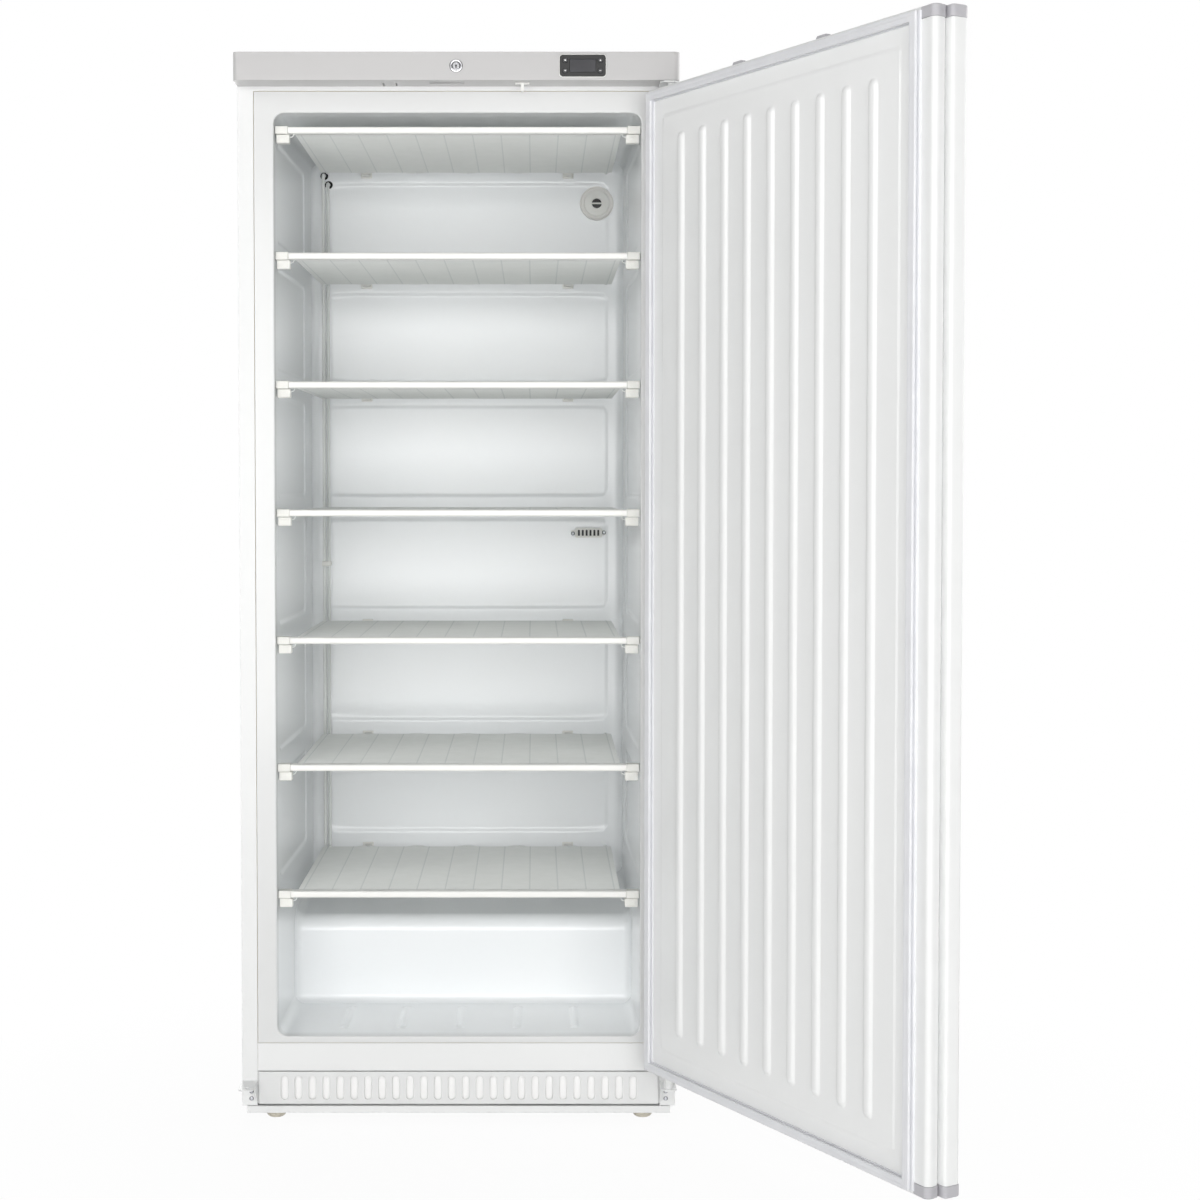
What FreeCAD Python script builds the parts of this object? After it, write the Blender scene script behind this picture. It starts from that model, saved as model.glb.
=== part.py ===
import FreeCAD, Part
import math
import os

import Sketcher
from FreeCAD import Placement, Rotation, Vector

# Upright single-door freezer, millimetres. The pieces are drawn in the cabinet's own frame: x to the
# right from the middle of the cabinet, y backwards from its face, z up from the floor. The door is drawn
# shut and then turned about its hinge to the angle at which the freezer stands open.

os.makedirs("parts", exist_ok=True)
doc = FreeCAD.newDocument("UprightFreezer")
sheet = doc.addObject("Spreadsheet::Sheet", "Sizes")
sub_parts = []


class Size:
    """A length or an angle that knows its value and the formula that gives it."""

    def __init__(self, value, text):
        self.value = float(value)
        self.text = text

    def __add__(self, other):
        other = as_size(other)
        return Size(self.value + other.value, f"({self.text} + {other.text})")

    def __radd__(self, other):
        return as_size(other) + self

    def __sub__(self, other):
        other = as_size(other)
        return Size(self.value - other.value, f"({self.text} - {other.text})")

    def __rsub__(self, other):
        return as_size(other) - self

    def __mul__(self, other):
        other = as_size(other)
        return Size(self.value * other.value, f"({self.text} * {other.text})")

    __rmul__ = __mul__

    def __truediv__(self, other):
        other = as_size(other)
        return Size(self.value / other.value, f"({self.text} / {other.text})")

    def __neg__(self):
        return self * -1


def as_size(thing):
    return thing if isinstance(thing, Size) else Size(thing, f"({float(thing)})")


def driving(alias, value, meaning):
    """One driving dimension: a row of the sheet with its meaning, its value and its name."""
    driving.row += 1
    sheet.set(f"A{driving.row}", meaning)
    sheet.set(f"B{driving.row}", str(value))
    sheet.setAlias(f"B{driving.row}", alias)
    return Size(value, f"Sizes.{alias}")


driving.row = 0

# --- driving dimensions: the cabinet
cabinet_width = driving("cabinet_width", 777, "outside width of the cabinet")
cabinet_depth = driving("cabinet_depth", 610, "face of the cabinet to its back panel")
overall_height = driving("overall_height", 1895, "floor to the top of the canopy")
steel = driving("steel_thickness", 1.2, "painted steel sheet")
face_flange = driving("face_flange", 28, "width of the side panels' front flanges")
face_top = driving("face_top", 1838, "top edge of the plastic face")
panel_gap = driving("panel_gap", 0.2, "seam between neighbouring panels")
machine_front = driving("machine_front", 306, "face to the front of the machine bay")
machine_top = driving("machine_top", 285, "height of the machine bay's ceiling")
foam_bottom = driving("foam_bottom", 95, "height of the insulation's underside")
rear_border = driving("rear_border", 35, "steel left around the opening of the machine bay")

# --- the liner
opening_width = driving("opening_width", 650, "width of the cavity at the face")
opening_bottom = driving("opening_bottom", 155, "height of the cavity's floor")
opening_top = driving("opening_top", 1800, "height of the cavity's ceiling at the face")
cavity_depth = driving("cavity_depth", 550, "face to the cavity's back wall")
cavity_draft = driving("cavity_draft", 10, "how much each wall closes in at the back")
corner_radius = driving("corner_radius", 18, "rounding of the cavity's corners")
liner_wall = driving("liner_wall", 3, "thickness of the plastic liner")
face_bottom = driving("face_bottom", 142.5, "bottom edge of the plastic face")
hump_front = driving("hump_front", 256, "face to the step over the machine bay")
hump_height = driving("hump_height", 317, "height of the step at its front")
hump_rise = driving("hump_rise", 36, "how much the step's top climbs to the back")
hump_radius = driving("hump_radius", 30, "rounding of the step's front edge")
recess_depth = driving("recess_depth", 1.8, "depth of the panels pressed into the walls")
recess_radius = driving("recess_radius", 16, "corner rounding of those panels")
recess_half_width = driving("recess_half_width", 283, "half width of the panels in the back wall")
recess_above = driving("recess_above", 29, "from a shelf up to the panel above it")
recess_below = driving("recess_below", 20, "from a shelf down to the panel below it")
side_recess_front = driving("side_recess_front", 48, "face to the panels in the side walls")
side_recess_rear = driving("side_recess_rear", 428, "face to the far end of those panels")
rib_count = 5
rib_pitch = driving("floor_rib_pitch", 105, "spacing of the ribs on the floor")
rib_width = driving("floor_rib_width", 19, "width of a floor rib")
rib_height = driving("floor_rib_height", 3, "height of a floor rib")
rib_front = driving("floor_rib_front", 56, "face to the front end of the floor ribs")
rib_rear = driving("floor_rib_rear", 218, "face to the rear end of the floor ribs")

# --- the fixed evaporator shelves
shelf_lowest = driving("shelf_lowest", 408, "height of the lowest shelf's tube")
shelf_pitch = driving("shelf_pitch", 228.4, "spacing of the six lower shelves")
shelf_top = driving("shelf_top", 1772, "height of the top shelf's tube")
shelf_levels = 6
tube_runs = 12
tube_margin = driving("tube_margin", 34.5, "narrow end of a side wall to the middle of the outer tube run")
tube_radius = driving("tube_radius", 4, "radius of the evaporator tube")
tube_front = driving("tube_front", 20, "face to the middle of the front bends' tube")
tube_rear = driving("tube_rear", 510, "face to the middle of the rear bends' tube")
tube_facets = 6
bend_chords = 3
wire_count = 12
wire_side = driving("wire_side", 1.6, "thickness of a cross wire")
wire_overhang = driving("wire_overhang", 6, "how far the wires pass the outer tubes")
wire_start = driving("wire_start", 6, "back of the trim to the first cross wire")
trim_half_length = driving("trim_half_length", 301, "half length of a shelf's front trim")
trim_height = driving("trim_height", 12, "height of the front trim")
trim_front = driving("trim_front", 13, "face to the front of the trim")
trim_depth = driving("trim_depth", 20, "depth of the trim's channel")
trim_wall = driving("trim_wall", 1.7, "wall of the trim")
trim_bevel = driving("trim_bevel", 1.2, "bevel of the trim's front edges")
clip_height = driving("clip_height", 14, "height of the clip that holds the trim's end")
clip_drop = driving("clip_drop", 16, "height of the clip's lower block")
clip_depth = driving("clip_depth", 22, "depth of a front clip")
clip_step = driving("clip_step", 1, "how far a clip's upper block stands before its trim")
clip_shift = driving("clip_shift", 3, "how far a clip's lower block reaches under the trim")
peg_runs = 4
peg_width = driving("peg_width", 16, "width of a peg behind a shelf")
peg_rise = driving("peg_rise", 2, "middle of a shelf's tube to the top of its pegs")
peg_drop = driving("peg_drop", 6, "middle of a shelf's tube to the bottom of its pegs")
seat = driving("seat_gap", 0.25, "gap at which one piece lies on another")
riser_radius = driving("riser_radius", 3.5, "radius of the riser tubes")
riser_pitch = driving("riser_pitch", 9, "spacing of the two riser tubes")
riser_setback = driving("riser_setback", 16, "rear bends' tube to the risers")
riser_bottom = driving("riser_bottom", 352, "height of the risers' lower ends")
riser_drop = driving("riser_drop", 4, "top shelf's tube down to the end of the longer riser")
riser_band_height = driving("riser_band_height", 10, "height of the band round the risers")
riser_band_wall = driving("riser_band_wall", 1.5, "wall of that band")

# --- the front below the door
panel_return = driving("panel_return", 12, "depth of a front panel's folded edges")
grille_half_width = driving("grille_half_width", 358, "half width of the air grille")
grille_bottom = driving("grille_bottom", 33, "bottom of the air grille")
grille_top = driving("grille_top", 91, "top of the air grille")
grille_thickness = driving("grille_thickness", 2.5, "thickness of the air grille")
grille_ear = driving("grille_ear", 8, "how far the grille's ears reach behind the side flanges")
slot_count = 26
slot_pitch = driving("slot_pitch", 25, "spacing of the grille's slots")
slot_width = driving("slot_width", 13, "width of a grille slot")
slot_height = driving("slot_height", 42.5, "height of a grille slot")
base_half_width = driving("base_half_width", 379.5, "half width of the base frame")
base_bottom = driving("base_bottom", 17, "underside of the base frame")
base_height = driving("base_height", 12.5, "height of the base frame's bar")
base_front = driving("base_front", 4, "how far the base bar stands before the face")
base_plate = driving("base_plate", 1.5, "thickness of the base plate")
foot_radius = driving("foot_radius", 18, "radius of a levelling foot's pad")
foot_height = driving("foot_height", 13, "height of the pad")
foot_bevel = driving("foot_bevel", 4.5, "slant round the bottom of the pad")
foot_spacing = driving("foot_spacing", 664, "distance between the two front feet")
foot_setback = driving("foot_setback", 40, "face to the feet")
foot_sides = 24
stud_sides = 12
foot_nut = driving("foot_nut", 8, "height of the nut that a foot's stud turns in")
stud_radius = driving("stud_radius", 5, "radius of a foot's stud")
stud_top = driving("stud_top", 60, "height of the stud's top")
running_gap = driving("running_gap", 0.1, "radial play of what turns or slides")
roller_radius = driving("roller_radius", 13, "radius of a rear roller")
roller_width = driving("roller_width", 22, "width of a rear roller")
roller_side_gap = driving("roller_side_gap", 0.5, "gap between a roller and its cheek")
roller_setback = driving("roller_setback", 575, "face to the rollers' axles")
axle_radius = driving("axle_radius", 3, "radius of a roller's axle")

# --- the canopy over the door
canopy_bottom = driving("canopy_bottom", 1846, "underside of the canopy")
canopy_reach = driving("canopy_reach", 60, "how far the canopy stands before the face")
canopy_lap = driving("canopy_lap", 70, "how far its top laps over the cabinet")
canopy_radius = driving("canopy_radius", 10, "rounding of the canopy's upright front edges")
controls_height = driving("controls_height", 1870.5, "height of the lock and the controller")
lock_radius = driving("lock_radius", 9.5, "radius of the lock's body")
lock_sides = 12
lock_ring_radius = driving("lock_ring_radius", 11.5, "radius of the lock's ring")
lock_ring_depth = driving("lock_ring_depth", 2.5, "how far the ring stands out")
lock_length = driving("lock_length", 22, "length of the lock's body behind the front")
lock_nut_radius = driving("lock_nut_radius", 13, "radius of the lock's nut")
lock_nut_length = driving("lock_nut_length", 4, "thickness of the lock's nut")
barrel_radius = driving("barrel_radius", 6, "radius of the lock's barrel")
barrel_inset = driving("barrel_inset", 0.5, "how far the barrel lies inside its ring")
keyhole_width = driving("keyhole_width", 1.4, "width of the key's slot")
keyhole_height = driving("keyhole_height", 7, "height of the key's slot")
keyhole_depth = driving("keyhole_depth", 3.5, "depth of the key's slot")
bolt_reach = driving("bolt_reach", 48, "axis of the lock to the bolt's tip")
bolt_width = driving("bolt_width", 14, "width of the lock's bolt")
bolt_thickness = driving("bolt_thickness", 3, "thickness of the lock's bolt")
bolt_slot_left = driving("bolt_slot_left", 47, "lock axis to the left end of the bolt's slot")
bolt_slot_right = driving("bolt_slot_right", 13, "lock axis to the right end of the slot")
bolt_slot_width = driving("bolt_slot_width", 8, "width of the bolt's slot")
strike_depth = driving("strike_depth", 16, "depth of the strike pocket in the door")
controller_x = driving("controller_x", 220, "cabinet's middle to the controller's middle")
bezel_width = driving("bezel_width", 80, "width of the controller's bezel")
bezel_height = driving("bezel_height", 37.5, "height of the bezel")
bezel_depth = driving("bezel_depth", 3, "how far the bezel stands out")
bezel_radius = driving("bezel_radius", 3.5, "corner rounding of the bezel")
controller_depth = driving("controller_depth", 34, "length of the controller behind the front")
controller_inset = driving("controller_inset", 4, "bezel's edge to the controller's body")
display_width = driving("display_width", 45, "width of the display")
display_height = driving("display_height", 22, "height of the display")
display_depth = driving("display_depth", 2, "thickness of the display")
display_inset = driving("display_inset", 0.5, "how far the display lies inside the bezel")
button_sides = 12
button_radius = driving("button_radius", 4, "radius of a controller button")
button_x = driving("button_x", 30.5, "controller's middle to its buttons, sideways")
button_z = driving("button_z", 9, "controller's middle to its buttons, upwards")
button_proud = driving("button_proud", 1, "how far a button stands out of the bezel")
button_length = driving("button_length", 6, "length of a button")
button_travel = driving("button_travel", 0.8, "travel of a button")
switch_x = driving("switch_x", 115, "cabinet's middle to the door switch")
switch_setback = driving("switch_setback", 32, "face forwards to the switch and the bolt")
collar_length = driving("collar_length", 25, "length of the switch's collar")
collar_width = driving("collar_width", 10, "width of the switch's collar")
collar_thickness = driving("collar_thickness", 2, "thickness of the switch's collar")
plunger_width = driving("plunger_width", 5.5, "width of the switch's plunger")
plunger_depth = driving("plunger_depth", 7, "depth of the switch's plunger")
plunger_tip = driving("plunger_tip", 1831.5, "height of the plunger's tip")
plunger_travel = driving("plunger_travel", 6, "travel of the plunger")
plunger_round = driving("plunger_round", 1.5, "rounding of the plunger's tip")
switch_height = driving("switch_height", 32, "height of the switch's body in the canopy")
switch_roof = driving("switch_roof", 4, "wall above the plunger's way")
switch_play = driving("switch_play", 2, "room round the plunger in the canopy's sheet")
spare_slot_x = driving("spare_slot_x", 117.5, "cabinet's middle to the spare switch place")
spare_slot_gap = driving("spare_slot_gap", 23, "distance between the spare place's two slots")
spare_slot_length = driving("spare_slot_length", 26, "length of those slots")
spare_slot_front = driving("spare_slot_front", 4, "face forwards to those slots")

# --- the hinges
hinge_x = driving("hinge_x", 373, "cabinet's middle to the hinge axis")
hinge_setback = driving("hinge_setback", 48, "face forwards to the hinge axis")
open_angle = driving("open_angle", 118.5, "angle at which the door stands open")
bracket_plate = driving("bracket_plate", 3, "thickness of a hinge bracket")
bracket_inner = driving("bracket_inner", 361, "cabinet's middle to a bracket's inner edge")
bracket_outer = driving("bracket_outer", 388, "cabinet's middle to a bracket's outer edge")
bracket_bottom = driving("bracket_bottom", 31, "bottom of a lower bracket")
bracket_top = driving("bracket_top", 74.5, "top of a lower bracket")
bracket_reach = driving("bracket_reach", 61, "how far a bracket's lip stands before the face")
bracket_bevel = driving("bracket_bevel", 7, "bevel of a bracket's free corners")
gusset_rise = driving("gusset_rise", 4, "bottom of a bracket to its gusset")
upper_leg = driving("upper_leg", 16, "height of the upper bracket's leg")
upper_setback = driving("upper_setback", 2, "how far the upper plate ends behind the lower lip")
upper_margin = driving("upper_margin", 6, "how much further the upper plate reaches inwards")
pin_radius = driving("pin_radius", 5, "radius of a hinge pin")
pin_engagement = driving("pin_engagement", 20, "length of pin inside the door")
pin_gap = driving("pin_gap", 0.05, "radial play of the hinge pins")
pin_bevel = driving("pin_bevel", 1, "bevel of the lower pin's tip")
shoulder_radius = driving("shoulder_radius", 8, "radius of the lower pin's shoulder")
bush_sides = 8
bush_wall = driving("bush_wall", 3, "wall of a hinge bush")
bush_flange = driving("bush_flange", 2, "thickness of a hinge bush's flange")
bore_clearance = driving("bore_clearance", 4, "how far the door's bore passes the pin's end")
bush_flange_radius = driving("bush_flange_radius", 10.5, "radius of a bush's flange")
screw_sides = 8
screw_head_radius = driving("screw_head_radius", 4, "radius of a screw's head")
screw_head_height = driving("screw_head_height", 2.4, "height of a screw's head")
screw_radius = driving("screw_radius", 2.2, "radius of a screw's shank")
screw_upper = driving("screw_upper", 56, "height of a lower bracket's upper screw")
screw_lower = driving("screw_lower", 43, "height of a lower bracket's lower screw")
screw_x = driving("screw_x", 371.5, "cabinet's middle to the lower brackets' screws")
screw_spacing = driving("screw_spacing", 15, "distance between the upper bracket's screws")

# --- the door, shut
door_bottom = driving("door_bottom", 107, "bottom of the door")
door_top = driving("door_top", 1828, "top of the door")
door_outer = driving("door_outer", 60, "face forwards to the door's outer face")
door_inner = driving("door_inner", 12, "face forwards to the door's inner edge")
handle_joint = driving("handle_joint", 358, "cabinet's middle to the handle profile")
handle_reach = driving("handle_reach", 9, "how far the outer lobe passes the cabinet")
handle_front = driving("handle_front", 67.5, "face forwards to the handle's outer lobe")
groove_inner = driving("groove_inner", 33, "face forwards to the groove's inner side")
groove_outer = driving("groove_outer", 38, "face forwards to the groove's outer side")
groove_depth = driving("groove_depth", 12, "depth of the finger groove")
lobe_radius = driving("lobe_radius", 8, "rounding of the handle's lobes")
cap_height = driving("cap_height", 18, "height of a handle end cap")
cap_proud = driving("cap_proud", 1.5, "how far an end cap stands out of the handle")
seam_hinge = driving("seam_hinge", 363.5, "cabinet's middle to the seam on the hinge side")
seam_free = driving("seam_free", 342.5, "cabinet's middle to the seam on the free side")
seam_margin = driving("seam_margin", 22, "door's top or bottom edge to the seam")
gasket_width = driving("gasket_width", 17, "width of the gasket")
gasket_foot = driving("gasket_foot", 3.5, "thickness of the gasket's foot")
gasket_neck = driving("gasket_neck", 3, "height of the gasket's bellows neck")
neck_outer = driving("neck_outer", 5, "outer edge of the gasket to its neck")
neck_inner = driving("neck_inner", 4, "inner edge of the gasket to its neck")
face_inset = driving("face_inset", 1.5, "edges of the gasket to its sealing face")
gasket_gap = driving("gasket_gap", 0.8, "gap left to the cabinet's face when shut")
door_edge_radius = driving("door_edge_radius", 4, "rounding of the door's folded edge")
door_skin = driving("door_skin", 3, "thickness of the door's inner panel")
border_bevel = driving("border_bevel", 3, "bevel of the inner panel's corners")
field_inset = driving("field_inset", 28, "seam to the raised field")
field_height = driving("field_height", 2, "height of the raised field")
field_bevel = driving("field_bevel", 8, "bevel of the raised field's corners")
door_rib_count = 9
door_rib_pitch = driving("door_rib_pitch", 66, "spacing of the door's ribs")
door_rib_width = driving("door_rib_width", 26, "width of a door rib")
door_rib_height = driving("door_rib_height", 4.5, "height of a door rib")
door_rib_inset = driving("door_rib_inset", 34, "raised field's end to the ribs' ends")
tab_length = driving("tab_length", 28, "length of a tab on the door's top")
tab_height = driving("tab_height", 5, "height of a tab")
tab_depth = driving("tab_depth", 9, "depth of a tab")
tab_setback = driving("tab_setback", 14, "face forwards to a tab")
tab_bevel = driving("tab_bevel", 3, "bevel of a tab's upper corners")

# --- the machine bay and the back
compressor_radius = driving("compressor_radius", 78, "radius of the compressor's shell")
compressor_height = driving("compressor_height", 168, "height of the compressor's shell")
compressor_x = driving("compressor_x", 170, "cabinet's middle to the compressor")
compressor_y = driving("compressor_y", 465, "face to the compressor's middle")
dome_bevel = driving("dome_bevel", 23.4, "slant between the shell's side and its ends")
terminal_reach = driving("terminal_reach", 22, "how far the terminal box stands out of the shell")
terminal_size = driving("terminal_size", 60, "width and height of the terminal box")
terminal_lift = driving("terminal_lift", 50, "top of the mounts to the terminal box")
mount_height = driving("mount_height", 14, "height of a compressor mount")
mount_radius = driving("mount_radius", 11, "radius of a compressor mount")
mount_sides = 8
mount_spread = driving("mount_spread", 90, "half spacing of the compressor mounts, sideways")
mount_spread_deep = driving("mount_spread_deep", 50, "half spacing of the mounts, front to back")
mount_margin = driving("mount_margin", 15, "mount's middle to the edge of the foot plate")
plate_bevel = driving("plate_bevel", 8, "bevel of the foot plate's corners")
foot_plate = driving("foot_plate", 3, "thickness of the compressor's foot plate")
condenser_radius = driving("condenser_radius", 2.5, "radius of the condenser's tube")
condenser_half_width = driving("condenser_half_width", 290, "half width of the condenser's tube")
condenser_bottom = driving("condenser_bottom", 420, "height of the lowest condenser run")
condenser_pitch = driving("condenser_pitch", 90, "spacing of the condenser's runs")
condenser_runs = 14
condenser_standoff = driving("condenser_standoff", 14, "back panel to the condenser's tube")
rod_count = 12
rod_side = driving("rod_side", 2, "width of a condenser rod")
rod_depth = driving("rod_depth", 4, "depth of a condenser rod")
rod_overhang = driving("rod_overhang", 20, "how far the rods pass the outer runs")
standoff_width = driving("standoff_width", 14, "width of a stand-off bracket")
standoff_height = driving("standoff_height", 10, "height of a stand-off bracket")
drier_radius = driving("drier_radius", 10, "radius of the filter drier")
drier_length = driving("drier_length", 110, "length of the filter drier")
drier_x = driving("drier_x", -17.2, "cabinet's middle to the filter drier")
drier_setback = driving("drier_setback", 60, "machine bay's front wall to the drier")
drier_lift = driving("drier_lift", 20, "base plate to the drier's body")
drier_bevel = driving("drier_bevel", 4, "slant at the drier's ends")
drier_stub_radius = driving("drier_stub_radius", 3, "radius of the drier's pipe ends")
tray_height = driving("tray_height", 40, "height of the evaporating tray")
tray_wall = driving("tray_wall", 2, "wall of the evaporating tray")
tray_margin = driving("tray_margin", 30, "bay's walls to the evaporating tray")
tray_inner_end = driving("tray_inner_end", 90, "cabinet's middle to the tray's inner end")
tray_corner = driving("tray_corner", 10, "bevel of the tray's corners")
pipe_sides = 8
pipe_radius = driving("pipe_radius", 4, "radius of the refrigerant pipes")
pipe_level = driving("pipe_level", 78.6, "compressor's foot plate to its pipes")
discharge_reach = driving("discharge_reach", 30, "shell to the rising discharge pipe")
suction_reach = driving("suction_reach", 40, "shell to the rising suction pipe")
gland_sides = 12
gland_radius = driving("gland_radius", 9, "radius of the mains cable gland")
gland_length = driving("gland_length", 16, "length of the gland behind its panel")
gland_collar = driving("gland_collar", 3, "how far the gland's collar passes its sleeve")

# --- the back vent and the probe cover
vent_x = driving("vent_x", 262, "cabinet's middle to the round vent")
vent_z = driving("vent_z", 1713, "height of the round vent")
vent_sides = 24
vent_radius = driving("vent_radius", 34, "radius of the vent's ring")
vent_floor_radius = driving("vent_floor_radius", 31, "radius of the vent's sunken floor")
vent_disc_radius = driving("vent_disc_radius", 26, "radius of the vent's disc")
vent_disc_proud = driving("vent_disc_proud", 2, "how far the disc stands before the ring")
vent_disc_bevel = driving("vent_disc_bevel", 1.5, "bevel of the disc's rim")
vent_hole_radius = driving("vent_hole_radius", 10, "radius of the hole in the disc")
vent_bar_height = driving("vent_bar_height", 2.6, "height of the bar across the hole")
vent_thickness = driving("vent_thickness", 4, "thickness of the vent's ring")
vent_floor = driving("vent_floor", 1.5, "wall of the vent's sunken floor")
cover_x = driving("cover_x", 246, "cabinet's middle to the probe cover")
cover_z = driving("cover_z", 1046, "height of the probe cover")
cover_width = driving("cover_width", 55, "width of the probe cover")
cover_height = driving("cover_height", 20, "height of the probe cover")
cover_depth = driving("cover_depth", 13, "depth of the probe cover")
cover_ear = driving("cover_ear", 8, "length of a fixing ear of the cover")
cover_ear_thickness = driving("cover_ear_thickness", 1.5, "thickness of a fixing ear")
cover_wall = driving("cover_wall", 2, "wall of the probe cover")
cover_bevel = driving("cover_bevel", 4, "bevel of the cover's corners")
cover_slot_width = driving("cover_slot_width", 4, "width of a slot in the cover")
cover_slots = 6

# --- what follows from them
half = cabinet_width / 2
shell_top = overall_height - steel
base_top = base_bottom + base_height
mounts_top = base_top + mount_height
bush_length = pin_engagement + bush_flange
controller_half = bezel_width / 2 - controller_inset
controller_rise = bezel_height / 2 - controller_inset
face_half = half - face_flange - panel_gap
seam_bottom = door_bottom + seam_margin
seam_top = door_top - seam_margin
shelf_heights = [shelf_lowest + shelf_pitch * level for level in range(shelf_levels)] + [shelf_top]
tube_half_field = opening_width / 2 - cavity_draft - tube_margin
tube_pitch = tube_half_field * 2 / (tube_runs - 1)
riser_y = tube_rear + riser_setback
condenser_reach = condenser_half_width - condenser_pitch / 2
condenser_y = cabinet_depth + condenser_standoff

# How far cutting blocks pass what they cut, how far joined blocks run into each other, how far blocks
# reach into solid stock, and the hair's breadth at which welded wires lie on their tube.
overcut = 1
overlap = 0.5
stock = 20
weld_gap = 0.02


def door_corner(across, forwards):
    """Where a point of the shut door goes when the door stands open: x and y in the cabinet's frame."""
    angle = math.radians(open_angle.value)
    arm_x = across - hinge_x.value
    arm_y = -forwards + hinge_setback.value
    turned_x = arm_x * math.cos(angle) - arm_y * math.sin(angle)
    turned_y = arm_x * math.sin(angle) + arm_y * math.cos(angle)
    return hinge_x.value + turned_x, -hinge_setback.value + turned_y


# The part's origin is on the floor, under the middle of the space that the open freezer takes up.
free_edge = -half.value - handle_reach.value - cap_proud.value
corners = [door_corner(free_edge, f) for f in (handle_front.value + cap_proud.value, door_inner.value)]
right_end = max(x for x, y in corners)
front_end = min(y for x, y in corners)
condenser_back = condenser_standoff + condenser_radius * 3
origin_x = (right_end - half.value) / 2
origin_y = (front_end + cabinet_depth.value + condenser_back.value) / 2

IN_CABINET = Placement(Vector(-origin_x, -origin_y, 0), Rotation())
HINGE_AXIS = Vector(hinge_x.value, -hinge_setback.value, 0)
ON_DOOR = IN_CABINET * Placement(Vector(), Rotation(Vector(0, 0, 1), open_angle.value), HINGE_AXIS)


# --- building blocks
def sub_part(label, thing, place=IN_CABINET):
    """Names a finished piece, puts it in its place and keeps it for writing."""
    thing.Label = label
    thing.Placement = place
    sub_parts.append(thing)
    return thing


def bind(thing, **lengths):
    for name, length in lengths.items():
        thing.setExpression(name, as_size(length).text)
    return thing


def move(thing, x, y, z):
    for axis, length in zip("xyz", (x, y, z)):
        thing.setExpression(f"Placement.Base.{axis}", as_size(length).text)
    return thing


def around(centre, reach):
    """The two limits that lie evenly about a centre."""
    return centre - reach, centre + reach


def box(name, x, y, z):
    """A block between two limits along each axis."""
    block = doc.addObject("Part::Box", name)
    bind(block, Length=x[1] - as_size(x[0]), Width=y[1] - as_size(y[0]), Height=z[1] - as_size(z[0]))
    return move(block, x[0], y[0], z[0])


AXIS_TURN = {
    "x": Rotation(Vector(0, 1, 0), 90),
    "y": Rotation(Vector(1, 0, 0), -90),
    "z": Rotation(),
}


def rod(name, radius, axis, start, length):
    """A cylinder from a start point along one axis."""
    cylinder = doc.addObject("Part::Cylinder", name)
    cylinder.Placement = Placement(Vector(), AXIS_TURN[axis])
    bind(cylinder, Radius=radius, Height=length)
    return move(cylinder, *start)


def prism(name, sides, radius, axis, start, length):
    """A bar with flat sides along one axis; radius is to its corners."""
    bar = doc.addObject("Part::Prism", name)
    bar.Placement = Placement(Vector(), AXIS_TURN[axis])
    bar.Polygon = sides
    bind(bar, Circumradius=radius, Height=length)
    return move(bar, *start)


def fuse(name, *pieces):
    union = doc.addObject("Part::MultiFuse", name)
    union.Shapes = list(pieces)
    return union


def group(name, *pieces):
    """Several separate solids, such as identical fasteners, kept as one piece."""
    together = doc.addObject("Part::Compound", name)
    together.Links = list(pieces)
    return together


def cut(name, base, *tools):
    result = doc.addObject("Part::Cut", name)
    result.Base = base
    result.Tool = tools[0] if len(tools) == 1 else fuse(name + "_tools", *tools)
    return result


def common(name, first, second):
    result = doc.addObject("Part::Common", name)
    result.Base = first
    result.Tool = second
    return result


def rounded(name, base, radius, chosen):
    """Rounds the chosen edges of a piece."""
    doc.recompute()
    result = doc.addObject("Part::Fillet", name)
    result.Base = base
    edges = enumerate(base.Shape.Edges, start=1)
    result.Edges = [(index, radius.value, radius.value) for index, edge in edges if chosen(edge)]
    return result


def bevelled(name, base, size, chosen):
    """Cuts the chosen edges of a piece at a slant."""
    doc.recompute()
    result = doc.addObject("Part::Chamfer", name)
    result.Base = base
    edges = enumerate(base.Shape.Edges, start=1)
    result.Edges = [(index, size.value, size.value) for index, edge in edges if chosen(edge)]
    return result


def middle(edge):
    return edge.valueAt((edge.FirstParameter + edge.LastParameter) / 2)


def runs_along(edge, axis):
    """Whether an edge is straight along x, y or z."""
    ends = edge.Vertexes[-1].Point - edge.Vertexes[0].Point
    spread = {"x": ends.x, "y": ends.y, "z": ends.z}
    return edge.Length > 0 and abs(abs(spread[axis]) - edge.Length) < 1e-6


def near(value, size):
    return abs(value - as_size(size).value) < 1e-3


def base_plane(body, role):
    return next(plane for plane in body.Origin.OriginFeatures if plane.Role == role)


def new_sketch(body, name, role, height=0):
    """A sketch on one of the body's own planes, lifted along the plane's normal."""
    sketch = body.newObject("Sketcher::SketchObject", name)
    sketch.AttachmentSupport = (base_plane(body, role), [""])
    sketch.MapMode = "FlatFace"
    sketch.setExpression("AttachmentOffset.Base.z", as_size(height).text)
    return sketch


def hold(sketch, kind, geometry, vertex, length):
    """Holds one coordinate of a sketched point, measured from the sketch's origin."""
    length = as_size(length)
    index = sketch.addConstraint(Sketcher.Constraint(kind, -1, 1, geometry, vertex, length.value))
    sketch.setExpression(f"Constraints[{index}]", length.text)


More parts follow.
